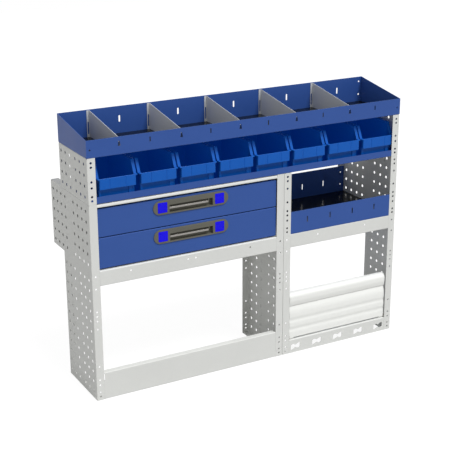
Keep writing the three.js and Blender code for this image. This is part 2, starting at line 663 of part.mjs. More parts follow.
function stadium(x, z, width, height) {
  const points = [];
  const radius = height / 2;
  [1, -1].forEach((end) => {
    for (let i = 0; i <= HANDLE_END_STEPS; i += 1) {
      const angle = (i / HANDLE_END_STEPS - 1 / 2) * Math.PI;
      points.push([
        x + end * (width / 2 - radius + radius * Math.cos(angle)),
        z + end * radius * Math.sin(angle),
      ]);
    }
  });
  return points;
}

// The lever swings on two trunnions, one in the cup's wall and one in a lug that hangs from its ceiling
const trunnionY = handleFront + LEVER_SETBACK + TRUNNION_RADIUS;

function trunnionZ(middle) {
  return cupRanges(middle)[1][1] - LEVER_DROP - TRUNNION_DROP;
}

function handleBody(middle) {
  const [cupX, cupZ] = cupRanges(middle);
  const leverEnd = cupX[0] + FIT + LEVER_WIDTH;
  const lug = box(
    [leverEnd + FIT, leverEnd + FIT + LUG_WIDTH],
    [handleFront + LEVER_SETBACK, handleFront + CUP_DEPTH / 2],
    [trunnionZ(middle) - LUG_REACH, cupZ[1] + CUP_WALL / 2],
  );
  const bores = plateX(
    ring(trunnionY, trunnionZ(middle), TRUNNION_RADIUS + FIT, ROUND_SIDES),
    [cupX[0] - CUP_WALL / 2 - FIT, leverEnd + FIT + LUG_WIDTH / 2 + FIT],
  );
  let body = plateY(stadium(handleX, middle, HANDLE_WIDTH, HANDLE_HEIGHT), [handleFront, handleRear])
    .add(box(grown(cupX, CUP_WALL), [handleFront + HANDLE_THICK / 2, cupRear], grown(cupZ, CUP_WALL)))
    .subtract(box(cupX, [handleFront - OVERRUN, cupRear - CUP_WALL], cupZ))
    .add(lug)
    .subtract(bores);
  [-1, 1].forEach((side) => {
    const pocket = centred(handleX + side * capFromCentre, middle, CAP_WIDTH + 2 * FIT, CAP_HEIGHT + 2 * FIT);
    body = body.subtract(plateY(pocket, [handleFront - OVERRUN, handleFront + CAP_POCKET]));
  });
  return body;
}

function handleLever(middle) {
  const [cupX, cupZ] = cupRanges(middle);
  const x = [cupX[0] + FIT, cupX[0] + FIT + LEVER_WIDTH];
  const front = handleFront + LEVER_SETBACK;
  const top = cupZ[1] - LEVER_DROP;
  const trunnions = plateX(
    ring(trunnionY, trunnionZ(middle), TRUNNION_RADIUS, ROUND_SIDES),
    [x[0] - CUP_WALL / 2, x[1] + FIT + LUG_WIDTH / 2],
  );
  const section = [
    [front, top - LEVER_HEIGHT], [front + LEVER_LIP, top - LEVER_HEIGHT],
    [front + LEVER_LIP, top - LEVER_HEIGHT + LEVER_LIP_THICK],
    [front + LEVER_THICK, top - LEVER_HEIGHT + LEVER_LIP_THICK], [front + LEVER_THICK, top], [front, top],
  ];
  return plateX(section, x).add(trunnions);
}

function drawer(name, low, height, handleFromTop) {
  const middle = low + height - handleFromTop;
  part(`${name}_drawer_front`, drawerFront(low, height, middle), bluePaint);
  const boxHeight = height - BOX_RISE - BOX_HEADROOM;
  part(`${name}_drawer_box`, drawerBox(low + BOX_RISE, boxHeight), greyPaint);
  part(`${name}_handle`, handleBody(middle), handlePlastic);
  part(`${name}_lever`, handleLever(middle), zincSteel);
  const cap = [handleFront + CAP_POCKET - FIT - CAP_THICK, handleFront + CAP_POCKET - FIT];
  [[-1, 'left'], [1, 'right']].forEach(([side, word]) => {
    const outline = centred(handleX + side * capFromCentre, middle, CAP_WIDTH, CAP_HEIGHT);
    part(`${name}_cap_${word}`, plateY(outline, cap), capPlastic);
    runner(`${name}_runner_${word}`, -side, low + BOX_RISE + RUNNER_RISE + RUNNER_HEIGHT / 2);
  });
}

const lowerFrontLow = cabinetLow + FRONT_BOTTOM_GAP;
const upperFrontLow = lowerFrontLow + FRONT_HEIGHT + FRONT_GAP;
const upperFrontHeight = cabinetTop - FRONT_TOP_GAP - upperFrontLow;
drawer('lower', lowerFrontLow, FRONT_HEIGHT, HANDLE_FROM_TOP);
drawer('upper', upperFrontLow, upperFrontHeight, HANDLE_UPPER_FROM_TOP);

// The flap's lower profile, front face first: three flat ribs with valleys between them, and a shoulder above
const flapX = [rightX[0] + FLAP_GAP, rightX[1] - FLAP_GAP];
const flapTop = FLAP_FROM + FLAP_HEIGHT;
const pinY = FLAP_SETBACK + BEAD_RADIUS;
const pinZ = FLAP_FROM + PIN_RISE;

function flapFace() {
  const y = FLAP_SETBACK;
  const points = [[y, FLAP_FROM]];
  FLAP_VALLEYS.forEach((rise) => {
    const z = FLAP_FROM + rise;
    points.push([y, z - FLAP_VALLEY_REACH], [y + FLAP_VALLEY_DEPTH, z], [y, z + FLAP_VALLEY_REACH]);
  });
  points.push([y, FLAP_FROM + FLAP_BEND_FROM], [y + FLAP_BEND_DEPTH, FLAP_FROM + FLAP_BEND_TO]);
  points.push([y + FLAP_SHOULDER, flapTop]);
  return points;
}

const face = flapFace();
const faceBack = face.map(([y, z]) => [y + FLAP_WALL, z]).reverse();
const bead = ring(pinY, pinZ, BEAD_RADIUS, ROUND_SIDES);
const pinBore = ring(pinY, pinZ, PIN_RADIUS + FIT, ROUND_SIDES);
const [beadFrom, beadTo] = grown(flapX, -BEAD_INSET);
const flapPanel = plateX([...face, ...faceBack], flapX)
  .add(plateX(bead, [beadFrom, beadFrom + BEAD_LENGTH]))
  .add(plateX(bead, [beadTo - BEAD_LENGTH, beadTo]))
  .subtract(plateX(pinBore, [flapX[0] - OVERRUN, flapX[1] + OVERRUN]));
part('flap_panel', flapPanel, flapAluminium);

// The grip rail is a hollow profile: undercut below, flat in front and round above
function gripOutline(inset) {
  const low = flapTop + FIT + inset;
  const top = flapTop + FIT + GRIP_HEIGHT;
  const front = GRIP_SETBACK + inset;
  const centre = [GRIP_SETBACK + GRIP_RADIUS, top - GRIP_RADIUS];
  const points = [[GRIP_DEPTH - inset, low], [front + GRIP_UNDERCUT, low], [front, centre[1] - GRIP_FLAT]];
  for (let i = 0; i <= GRIP_STEPS; i += 1) {
    const angle = Math.PI - GRIP_SWEEP * i / GRIP_STEPS;
    const radius = GRIP_RADIUS - inset;
    points.push([centre[0] + radius * Math.cos(angle), centre[1] + radius * Math.sin(angle)]);
  }
  const last = points.pop();
  points.push([GRIP_DEPTH - inset, last[1]]);
  return points;
}

part('flap_grip_rail', plateX(gripOutline(0), flapX, [gripOutline(FLAP_WALL)]), flapAluminium);

// Each hinge bracket stands on the kick rail, with an ear that the pin passes through
const kickTop = KICK_RAIL_HEIGHT + FIT;
[[1, 'left', rightX[0]], [-1, 'right', rightX[1]]].forEach(([side, word, edge]) => {
  const span = (a, b) => inward(side, a, b).map((x) => edge + x);
  const earY = [THIN + FIT, THIN + FIT + EAR_DEPTH];
  const near = edge + side * EAR_GAP;
  const ear = near + side * EAR_THICK;
  const toe = near + side * FOOT_LENGTH;
  const section = [
    [near, kickTop], [toe, kickTop], [toe, kickTop + FOOT_SHEET], [ear, kickTop + FOOT_SHEET],
    [ear, kickTop + EAR_HEIGHT], [near, kickTop + EAR_HEIGHT],
  ];
  const bracket = plateY(section, earY)
    .subtract(box(
      span(EAR_GAP + EAR_THICK, EAR_GAP + FOOT_LENGTH + OVERRUN),
      [earY[0] - OVERRUN, earY[1] - FOOT_DEPTH],
      [kickTop - OVERRUN, kickTop + FOOT_SHEET + OVERRUN],
    ))
    .subtract(plateX(pinBore, span(-OVERRUN, EAR_GAP + EAR_THICK + OVERRUN)));
  part(`flap_bracket_${word}`, bracket, zincSteel);
  const pin = plateX(ring(pinY, pinZ, PIN_RADIUS, ROUND_SIDES), span(EAR_GAP, FLAP_GAP + PIN_REACH));
  part(`flap_pin_${word}`, pin, zincSteel);
});

export default model;
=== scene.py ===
# %% [markdown]
# A shelving unit for the side of a van. Bent and punched steel sheets carry an open top tray, a row of
# plastic bins, two drawers and a deep tray, and a ribbed aluminium flap closes the foot of the narrow bay.
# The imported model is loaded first, and every piece made here sits exactly where the matching solid says.

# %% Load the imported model
import json

import bmesh
import bpy
import numpy as np
from mathutils import Matrix, Vector
from mathutils.geometry import delaunay_2d_cdt


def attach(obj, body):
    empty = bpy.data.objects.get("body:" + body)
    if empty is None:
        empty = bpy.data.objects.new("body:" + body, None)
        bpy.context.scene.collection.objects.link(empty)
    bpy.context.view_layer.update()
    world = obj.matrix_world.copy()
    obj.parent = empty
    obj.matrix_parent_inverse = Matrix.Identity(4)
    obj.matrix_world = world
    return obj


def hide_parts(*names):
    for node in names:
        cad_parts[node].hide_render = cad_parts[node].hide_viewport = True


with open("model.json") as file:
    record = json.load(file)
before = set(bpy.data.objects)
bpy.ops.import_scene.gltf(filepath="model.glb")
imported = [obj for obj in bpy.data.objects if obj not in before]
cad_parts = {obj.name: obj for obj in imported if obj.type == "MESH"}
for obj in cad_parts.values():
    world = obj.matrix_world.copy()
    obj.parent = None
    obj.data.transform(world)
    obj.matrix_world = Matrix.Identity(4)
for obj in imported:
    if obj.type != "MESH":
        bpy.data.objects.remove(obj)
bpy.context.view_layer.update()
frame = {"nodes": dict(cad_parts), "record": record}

BODY_OF = {node: body for body, nodes in frame["record"]["behaviour"]["bodies"].items() for node in nodes}
SLOT_OF = {entry["node"]: entry["material_slot"] for entry in frame["record"]["subparts"]}

# %% [markdown]
# The camera. A product shot like this is taken with a long lens from about four metres, so that upright
# edges stay nearly parallel. The place is written as a point to look at, an azimuth, an elevation and a
# small roll, because these numbers are easy to check against the picture, and the axes are worked out from
# them.

# %% Camera
AZIMUTH, ELEVATION, ROLL = np.radians([-28.78, 18.952, -0.2424])
LOOK_AT = np.array([0.0, -0.0275, 0.480])
OFF_RIGHT, OFF_UP, DISTANCE = 0.032776, -0.021360, 4.215483

back = np.array([
    np.sin(AZIMUTH) * np.cos(ELEVATION), -np.cos(AZIMUTH) * np.cos(ELEVATION), np.sin(ELEVATION),
])
across = np.array([np.cos(AZIMUTH), np.sin(AZIMUTH), 0.0])
above = np.cross(back, across)
right = np.cos(ROLL) * across + np.sin(ROLL) * above
up = np.cos(ROLL) * above - np.sin(ROLL) * across
place = LOOK_AT - OFF_RIGHT * right - OFF_UP * up + DISTANCE * back

camera = bpy.data.objects.new("camera", bpy.data.cameras.new("camera"))
bpy.context.scene.collection.objects.link(camera)
camera.data.sensor_width = 36
camera.data.lens = 90
camera.data.clip_end = 40
rows = [[*row, at] for row, at in zip(np.array([right, up, back]).T, place)]
camera.matrix_world = Matrix(rows + [[0, 0, 0, 1]])
bpy.context.scene.camera = camera
bpy.context.scene.view_settings.view_transform = "Standard"
print("camera at", np.round(place, 3))

# %% [markdown]
# Colours are written as the sRGB values that a screen shows, and the shaders want them linear, so one
# function turns them. A second one adds a node, sets its settings and links or fills its inputs.

# %% Colour and node helpers
def linear(code):
    """sRGB hex to linear RGBA: each channel over 0.04045 is ((c + 0.055) / 1.055) to the power 2.4."""
    channels = np.array([int(code[i:i + 2], 16) for i in (0, 2, 4)]) / 255
    low, high = channels / 12.92, ((channels + 0.055) / 1.055) ** 2.4
    return (*np.where(channels > 0.04045, high, low), 1.0)


print("screen grey 808080 is linear", round(linear("808080")[0], 3))


def add(tree, kind, inputs=None, **settings):
    """Adds a node: settings are its properties, inputs are sockets to link or values to set."""
    node = tree.nodes.new(kind)
    for key, value in settings.items():
        setattr(node, key, value)
    for key, value in (inputs or {}).items():
        if isinstance(value, bpy.types.NodeSocket):
            tree.links.new(value, node.inputs[key])
        else:
            node.inputs[key].default_value = value
    return node

# %% [markdown]
# Light and floor. The studio is plain: an even white room and one large soft lamp, in front, above and a
# little to the right, so that tops are lightest, fronts come next and the left end is in half shade. The
# camera, and reflections, see clean white: Light Path picks that answer, while the light on the object
# stays the same.

# %% Room, lamp and floor
def seen_directly(tree):
    """1 for camera, glossy and transmission rays: the largest of the three Light Path values."""
    path = add(tree, "ShaderNodeLightPath").outputs
    seen = path["Is Camera Ray"]
    for kind in ("Is Glossy Ray", "Is Transmission Ray"):
        seen = add(tree, "ShaderNodeMath", {0: seen, 1: path[kind]}, operation="MAXIMUM").outputs[0]
    return seen


ROOM_LIGHT = 0.52
LAMP_LIGHT, LAMP_DEGREES, LAMP_FROM = 2.47, 22, (0.16, -0.50, 0.85)
FLOOR_HALF, FLOOR_SHADE, FLOOR_GLOW = 9, 0.14, 0.92
world = bpy.data.worlds.new("studio")
world.use_nodes = True
bpy.context.scene.world = world
tree = world.node_tree
tree.nodes.clear()
room = add(tree, "ShaderNodeBackground", {"Color": linear("FFFFFF"), "Strength": ROOM_LIGHT})
white = add(tree, "ShaderNodeBackground", {"Color": linear("FFFFFF"), "Strength": 1.0})
mixed = add(tree, "ShaderNodeMixShader", {0: seen_directly(tree), 1: room.outputs[0], 2: white.outputs[0]})
add(tree, "ShaderNodeOutputWorld", {"Surface": mixed.outputs[0]})

lamp = bpy.data.objects.new("lamp", bpy.data.lights.new("lamp", "SUN"))
bpy.context.scene.collection.objects.link(lamp)
lamp.data.energy = LAMP_LIGHT
lamp.data.angle = np.radians(LAMP_DEGREES)
lamp.rotation_euler = Vector(LAMP_FROM).to_track_quat("Z", "Y").to_euler()

floor_mesh = bpy.data.meshes.new("floor")
sides = (-1, -1), (1, -1), (1, 1), (-1, 1)
floor_mesh.from_pydata([(FLOOR_HALF * u, FLOOR_HALF * v, 0) for u, v in sides], [], [(0, 1, 2, 3)])
floor = bpy.data.objects.new("floor", floor_mesh)
bpy.context.scene.collection.objects.link(floor)
paper = bpy.data.materials.new("white_paper")
paper.use_nodes = True
tree = paper.node_tree
tree.nodes.clear()
bounce = add(tree, "ShaderNodeBsdfDiffuse", {"Color": linear("ABABAA")})
shade = add(tree, "ShaderNodeBsdfDiffuse", {"Color": (*[FLOOR_SHADE] * 3, 1.0)})
glow = add(tree, "ShaderNodeEmission", {"Color": linear("FFFFFF"), "Strength": FLOOR_GLOW})
lit = add(tree, "ShaderNodeAddShader", {0: glow.outputs[0], 1: shade.outputs[0]})
mixed = add(tree, "ShaderNodeMixShader", {0: seen_directly(tree), 1: bounce.outputs[0], 2: lit.outputs[0]})
add(tree, "ShaderNodeOutputMaterial", {"Surface": mixed.outputs[0]})
floor_mesh.materials.append(paper)
print("room", ROOM_LIGHT, "lamp", LAMP_LIGHT)

# %% [markdown]
# Powder coat. The steel is sprayed with dry polyester powder and baked. It flows into a tough film with a
# soft shine and a fine orange-peel ripple, about 1.5 mm from crest to crest. The ripple is a noise bump. A
# slow drift of the colour, by a percent or two, keeps large panels from looking like flat paper. All
# patterns lie on the piece's own coordinates, so they move with it.

# %% Powder-coated steel
DRIFT_PER_METRE, RIPPLE = 7.0, 1.5


def blank(name):
    """An empty material: returns it, its tree and the coordinates of the piece that carries it."""
    material = bpy.data.materials.new(name)
    material.use_nodes = True
    tree = material.node_tree
    tree.nodes.clear()
    return material, tree, add(tree, "ShaderNodeTexCoord").outputs["Object"]


def coated(tree, inputs):
    """Puts a Principled shader with these inputs on the material's surface."""
    shader = add(tree, "ShaderNodeBsdfPrincipled", inputs)
    add(tree, "ShaderNodeOutputMaterial", {"Surface": shader.outputs[0]})


def powder_coat(name, dark, light, roughness):
    """Polyester powder coat: two close shades mixed by a slow noise, a soft shine and a fine ripple."""
    material, tree, place = blank(name)
    slow = {"Vector": place, "Scale": DRIFT_PER_METRE, "Detail": 3.0}
    drift = add(tree, "ShaderNodeTexNoise", slow).outputs[0]
    shades = {0: drift, 6: linear(dark), 7: linear(light)}
    tint = add(tree, "ShaderNodeMix", shades, data_type="RGBA").outputs[2]
    fine = {"Vector": place, "Scale": 1000 / RIPPLE, "Detail": 2.0}
    peel = add(tree, "ShaderNodeTexNoise", fine).outputs[0]
    bump = add(tree, "ShaderNodeBump", {"Height": peel, "Strength": 0.12, "Distance": 0.0003}).outputs[0]
    limits = {"Value": drift, "To Min": roughness - 0.05, "To Max": roughness + 0.05}
    sheen = add(tree, "ShaderNodeMapRange", limits).outputs[0]
    coated(tree, {"Base Color": tint, "Normal": bump, "Roughness": sheen, "Specular IOR Level": 0.3})
    return material


grey_paint = powder_coat("grey_powder_coat", "D9DAD7", "DFE0DD", 0.48)
blue_paint = powder_coat("blue_powder_coat", "2D5097", "32559D", 0.45)
divider_paint = powder_coat("divider_powder_coat", "C6C9CD", "CDD0D4", 0.5)
print("three powder coats with a ripple of", RIPPLE, "mm")

# %% [markdown]
# Moulded plastics. The bins are polypropylene, which is slightly waxy, and the mould's fine texture breaks
# its shine. The drawer handles are grain-textured ABS, and their caps are glossy ABS. All three come from
# one function: cells of the mould's grain as a bump, and a faint flow pattern in the colour.

# %% Moulded plastics
FLOW_PER_METRE, PLASTIC_IOR = 14.0, 1.49


def moulded(name, dark, light, roughness, grain, depth, specular):
    """Injection-moulded plastic: the etched mould leaves cells of grain mm that are depth mm deep."""
    material, tree, place = blank(name)
    slow = {"Vector": place, "Scale": FLOW_PER_METRE, "Detail": 2.0}
    flow = add(tree, "ShaderNodeTexNoise", slow).outputs[0]
    shades = {0: flow, 6: linear(dark), 7: linear(light)}
    tint = add(tree, "ShaderNodeMix", shades, data_type="RGBA").outputs[2]
    etched = add(tree, "ShaderNodeTexVoronoi", {"Vector": place, "Scale": 1000 / grain}).outputs["Distance"]
    heights = {"Height": etched, "Strength": 0.3, "Distance": depth / 1000}
    bump = add(tree, "ShaderNodeBump", heights).outputs[0]
    coated(tree, {
        "Base Color": tint, "Normal": bump, "Roughness": roughness, "IOR": PLASTIC_IOR,
        "Specular IOR Level": specular,
    })
    return material


BIN_SHINE = 0.38
bin_plastic = moulded("blue_polypropylene", "0A57B2", "0E5CBA", BIN_SHINE, 1.2, 0.04, 0.2)
handle_plastic = moulded("grey_grained_abs", "5C5B52", "66655C", 0.55, 1.0, 0.08, 0.3)
cap_plastic = moulded("blue_gloss_abs", "1306E2", "180AEC", 0.22, 1.6, 0.01, 0.15)
print("three plastics")

# %% [markdown]
# Two things are the bins' own. Their rims are scuffed and dull, so the roughness rises over the last
# millimetres of height. A faint blue glow is painted on them from a little way behind the front to the rear.
# It is painted light: an emission that brightens their shaded insides and the gaps between them, in place
# of light through the thin walls, at a small part of the render time. The first bin's outer side, by the
# web, gets no glow and stays dark.

# %% Scuffed rims and painted glow in the bins
# For each ramp: the axis, where it starts and ends in metres, and the values there.
RAMPS = {
    "worn": (2, 0.842, 0.848, BIN_SHINE, 0.95), "deep": (1, -0.1525, -0.1325, 0, 1),
    "inward": (0, -0.5905, -0.5885, 0, 1),
}
# The painted glow: a faint blue emission that stands for light in the bins' shaded insides and gaps.
NO_GLOW, PAINTED_GLOW = (0, 0, 0, 1), (0.0, 0.009, 0.055, 1.0)
tree = bin_plastic.node_tree
place = add(tree, "ShaderNodeSeparateXYZ", {0: add(tree, "ShaderNodeTexCoord").outputs["Object"]}).outputs
ramps = {}
for word, (axis, start, end, low, high) in RAMPS.items():
    limits = {"Value": place[axis], "From Min": start, "From Max": end, "To Min": low, "To Max": high}
    ramps[word] = add(tree, "ShaderNodeMapRange", limits).outputs[0]
# Where the painted glow goes: nowhere in the front band and nowhere on the first bin's outer side.
glow_mask = add(tree, "ShaderNodeMath", {0: ramps["deep"], 1: ramps["inward"]}, operation="MULTIPLY")
colours = {0: glow_mask.outputs[0], 6: NO_GLOW, 7: PAINTED_GLOW}
painted_glow = add(tree, "ShaderNodeMix", colours, data_type="RGBA").outputs[2]
surface = tree.nodes["Principled BSDF"]
tree.links.new(ramps["worn"], surface.inputs["Roughness"])
tree.links.new(painted_glow, surface.inputs["Emission Color"])
surface.inputs["Emission Strength"].default_value = 1.0
print(len(ramps), "ramps on the bins")

# %% [markdown]
# Rubber mat, zinc-plated steel and lacquered aluminium. The mat is smooth rubber with a half-gloss face, so
# it mirrors the slots and holes. Runners and brackets are plated sheet steel, with rolling marks along
# them. The flap is an extruded profile, and the die leaves fine lines along it, under a thin white lacquer.
# At the end the solids get the same finishes as the pieces that stand for them.

# %% Rubber, zinc and aluminium
DUST_PER_METRE, WAVES_PER_METRE = 30.0, 60.0
LINE_STRETCH = 60


def smooth_rubber(name, dark, light):
    """Dark rubber with a smooth, half-gloss face; a slow noise makes it slightly uneven."""
    material, tree, place = blank(name)
    specks = {"Vector": place, "Scale": DUST_PER_METRE, "Detail": 4.0}
    dust = add(tree, "ShaderNodeTexNoise", specks).outputs[0]
    shades = {0: dust, 6: linear(dark), 7: linear(light)}
    tint = add(tree, "ShaderNodeMix", shades, data_type="RGBA").outputs[2]
    slow = {"Vector": place, "Scale": WAVES_PER_METRE, "Detail": 1.0}
    waves = add(tree, "ShaderNodeTexNoise", slow).outputs[0]
    bump = add(tree, "ShaderNodeBump", {"Height": waves, "Strength": 0.1, "Distance": 0.0005}).outputs[0]
    coated(tree, {"Base Color": tint, "Normal": bump, "Roughness": 0.2, "Specular IOR Level": 0.3})
    return material


def drawn_metal(name, dark, light, roughness, along, pitch, metal, coat):
    """Metal with lines along one axis: a noise squeezed to pitch mm across and stretched along the lines."""
    material, tree, place = blank(name)
    scale = np.full(3, 1000 / pitch)
    scale["XYZ".index(along)] /= LINE_STRETCH
    lines = add(tree, "ShaderNodeMapping", {"Vector": place, "Scale": tuple(scale)}).outputs[0]
    grain = add(tree, "ShaderNodeTexNoise", {"Vector": lines, "Scale": 1.0, "Detail": 3.0}).outputs[0]
    shades = {0: grain, 6: linear(dark), 7: linear(light)}
    tint = add(tree, "ShaderNodeMix", shades, data_type="RGBA").outputs[2]
    bump = add(tree, "ShaderNodeBump", {"Height": grain, "Strength": 0.15, "Distance": 0.0002}).outputs[0]
    limits = {"Value": grain, "To Min": roughness - 0.06, "To Max": roughness + 0.06}
    spread = add(tree, "ShaderNodeMapRange", limits).outputs[0]
    coated(tree, {
        "Base Color": tint, "Normal": bump, "Roughness": spread, "Metallic": metal,
        "Coat Weight": coat, "Coat Roughness": 0.25,
    })
    return material


rubber = smooth_rubber("smooth_rubber", "090A09", "121311")
zinc = drawn_metal("zinc_plated_steel", "8A8783", "A29F9A", 0.36, "Y", 0.8, 1.0, 0.0)
lacquered = drawn_metal("white_lacquered_aluminium", "ECEDE9", "F6F7F4", 0.4, "X", 1.2, 0.0, 0.3)

FINISHES = {
    "grey_paint": grey_paint, "blue_paint": blue_paint, "divider_paint": divider_paint,
    "bin_plastic": bin_plastic, "handle_plastic": handle_plastic, "cap_plastic": cap_plastic,
    "rubber_mat": rubber, "zinc_steel": zinc, "flap_aluminium": lacquered,
}
for node, solid in frame["nodes"].items():
    for holder in solid.material_slots:
        holder.material = FINISHES[SLOT_OF[node]]
print(len(FINISHES), "finishes")

# %% [markdown]
# A toolbox for bent sheet metal. Almost the whole unit is sheet steel, cut flat, punched and folded on a
# press brake. The same idea makes the meshes: a flat panel with its holes, a quarter-round bend and a
# flange, all on the sheet's outer face. First come the outlines of panels and holes. Sizes are in
# millimetres, from the left frame's outer front corner on the floor, X to the right, Y to the rear and Z
# up.

# %% Outlines
X, Y, Z = np.eye(3)


def circle(u, v, radius, count=16):
    """Points at equal angles round (u, v)."""
    angle = 2 * np.pi * np.arange(count) / count
    return np.stack([u + radius * np.cos(angle), v + radius * np.sin(angle)], axis=1)


def rectangle(u0, u1, v0, v1):
    return np.array([(u0, v0), (u1, v0), (u1, v1), (u0, v1)], float)


def rounded(outline, radius, count=5):
    """Each corner becomes a quadratic Bezier curve that takes up to radius, or 0.48 of a side, from both
    sides and is pulled to the corner."""
    outline = np.asarray(outline, float)
    before = np.roll(outline, 1, axis=0) - outline
    after = np.roll(outline, -1, axis=0) - outline
    sizes = np.linalg.norm(before, axis=1), np.linalg.norm(after, axis=1)
    cut = np.minimum(np.broadcast_to(radius, len(outline)), 0.48 * np.minimum(*sizes))
    start = outline + before * (cut / sizes[0])[:, None]
    end = outline + after * (cut / sizes[1])[:, None]
    t = np.linspace(0, 1, count)[None, :, None]
    curve = (1 - t) ** 2 * start[:, None] + 2 * t * (1 - t) * outline[:, None] + t ** 2 * end[:, None]
    return curve.reshape(-1, 2)


def turned_left(ring):
    """The ring in counter-clockwise order: its area, half the sum of x * next y - next x * y, is positive."""
    ring = np.asarray(ring, float)
    x, y = ring.T
    return ring if np.sum(x * np.roll(y, -1) - np.roll(x, -1) * y) > 0 else ring[::-1]


print("a rounded square has", len(rounded(rectangle(0, 10, 0, 10), 2)), "points")

# %% [markdown]
# A panel is cut by a constrained Delaunay triangulation, which keeps every outline as edges, so that holes
# of any shape can be punched in one step. Bends and flanges are then joined to its edges.

# %% Panels, bends and flanges
def panel(outline, holes, origin, across, upward, normal):
    """A flat face with holes: (u, v) goes to origin + u * across + v * upward. Outline and holes go into one
    constrained triangulation as faces, and a triangle stays if only the outline covers it."""
    rings = [turned_left(ring) for ring in (outline, *holes)]
    starts = np.cumsum([0] + [len(ring) for ring in rings])
    faces = [list(range(a, b)) for a, b in zip(starts[:-1], starts[1:])]
    made = delaunay_2d_cdt([Vector(p) for p in np.vstack(rings)], [], faces, 1, 1e-5)
    uv = np.array([tuple(p) for p in made[0]])
    kept = [triangle for triangle, covers in zip(made[2], made[5]) if list(covers) == [0]]
    points = origin + uv[:, :1] * across + uv[:, 1:] * upward
    return points, np.tile(normal, (len(points), 1)).astype(float), np.array(kept)


def strip(rings):
    """Triangles between rings of equal length: rings[i, j] joins rings[i + 1, j]; the last axis is xyz."""
    rows, count = rings.shape[:2]
    i, j = np.meshgrid(np.arange(rows - 1), np.arange(count - 1), indexing="ij")
    a = (i * count + j).ravel()
    quads = np.stack([a, a + 1, a + 1 + count, a + count], axis=1)
    return np.vstack([quads[:, [0, 1, 2]], quads[:, [0, 2, 3]]])


def bend(start, end, out, face, radius, steps=5):
    """A quarter round: at angle a the normal is face * cos a + out * sin a, radius away from the axis."""
    angle = np.linspace(0, np.pi / 2, steps)[:, None]
    normals = np.cos(angle) * face + np.sin(angle) * out
    arc = radius * (normals - face)
    points = np.stack([start + arc, end + arc], axis=1)
    return points.reshape(-1, 3), np.repeat(normals, 2, axis=0), strip(points)


def flange(start, end, out, face, width, radius, ends=(0, 0), holes=(), edge=None):
    """A bend along start to end, then a flat wall; holes and edge are in mm along it and in from the face."""
    start, end, out, face = (np.asarray(v, float) for v in (start, end, out, face))
    length = np.linalg.norm(end - start)
    along = (end - start) / length
    a, b = ends
    outline = [(-a, radius)] if a else []
    outline += [(0, radius), (length, radius)]
    outline += [(length + b, radius)] if b else []
    outline += edge or [(length + b, width), (-a, width)]
    wall = panel(outline, holes, start + radius * out, along, -face, out)
    return [bend(start, end, out, face, radius), wall]


print("a bend has", len(bend(0 * X, X, Y, Z, 2.0)[0]), "points")

# %% [markdown]
# Each point carries its own normal. The sheet gets its thickness by a step against that normal, and its cut
# edges are closed with a wall, so holes and slots show a real edge.

# %% Join the faces and give them thickness
def weld(shells):
    """Joins shells into one, with points closer than 0.01 mm made one point."""
    points, normals, triangles, start = [], [], [], 0
    for shell in shells:
        points.append(shell[0])
        normals.append(shell[1])
        triangles.append(shell[2] + start)
        start += len(shell[0])
    points, normals, triangles = np.vstack(points), np.vstack(normals), np.vstack(triangles)
    _, first, where = np.unique(np.round(points, 2), axis=0, return_index=True, return_inverse=True)
    triangles = where.ravel()[triangles]
    whole = (triangles != np.roll(triangles, 1, axis=1)).all(axis=1)
    return points[first], normals[first], triangles[whole]


def thicken(shells, thickness):
    """A sheet of the given thickness: outer face, inner face a step against the normals, and a wall at each
    edge that only one triangle uses. Returns points, triangles and a normal for each triangle corner."""
    points, normals, outer = weld(shells)
    corners = points[outer]
    facing = np.cross(corners[:, 1] - corners[:, 0], corners[:, 2] - corners[:, 0])
    turned = (facing * normals[outer].sum(axis=1)).sum(axis=1) < 0
    outer[turned] = outer[turned][:, ::-1]
    count = len(points)
    edges = np.vstack([outer[:, [0, 1]], outer[:, [1, 2]], outer[:, [2, 0]]])
    key = np.sort(edges, axis=1)
    _, where, uses = np.unique(key, axis=0, return_inverse=True, return_counts=True)
    rim = edges[uses[where.ravel()] == 1]
    wall = np.vstack([
        np.stack([rim[:, 1], rim[:, 0], rim[:, 0] + count], axis=1),
        np.stack([rim[:, 1], rim[:, 0] + count, rim[:, 1] + count], axis=1),
    ])
    both = np.vstack([points, points - thickness * normals])
    side = np.cross(both[wall[:, 1]] - both[wall[:, 0]], both[wall[:, 2]] - both[wall[:, 0]])
    side /= np.maximum(np.linalg.norm(side, axis=1, keepdims=True), 1e-9)
    triangles = np.vstack([outer, outer[:, ::-1] + count, wall])
    shading = np.concatenate([normals[outer], -normals[outer[:, ::-1]], np.repeat(side[:, None], 3, axis=1)])
    return both, triangles, shading


square = panel(rectangle(0, 10, 0, 10), [], 0 * X, X, Y, Z)
print("a square plate has", len(thicken([square], 1.5)[1]), "triangles")

# %% [markdown]
# One function puts a finished mesh in the scene. It names the piece after its solid, gives it that solid's
# finish, lets it ride on the same body and hides the solid. Sheets bring their own
# normals. Other shapes get smooth shading with sharp edges kept, weighted by face area so that flat faces
# stay flat.

# %% Put a piece in the scene
RACK = np.array([635.0, 177.5, 0.0])


def place_piece(node, points, triangles, shading=None, angle=35):
    """Makes the object; points are in mm of the rack and become metres about the unit's middle."""
    mesh = bpy.data.meshes.new(node + "_made")
    mesh.from_pydata(((points - RACK) / 1000).tolist(), [], triangles.tolist(), shade_flat=False)
    piece = bpy.data.objects.new(mesh.name, mesh)
    bpy.context.scene.collection.objects.link(piece)
    if shading is None:
        work = bmesh.new()
        work.from_mesh(mesh)
        bmesh.ops.recalc_face_normals(work, faces=work.faces[:])
        work.to_mesh(mesh)
        work.free()
        mesh.set_sharp_from_angle(angle=np.radians(angle))
        weighted = piece.modifiers.new("flat_faces", "WEIGHTED_NORMAL")
        weighted.keep_sharp = True
    else:
        mesh.normals_split_custom_set(shading.reshape(-1, 3).tolist())
    mesh.materials.append(FINISHES[SLOT_OF[node]])
    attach(piece, BODY_OF[node])
    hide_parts(node)


print("the rack's origin is", (RACK / 1000).tolist(), "m left of and in front of the middle")

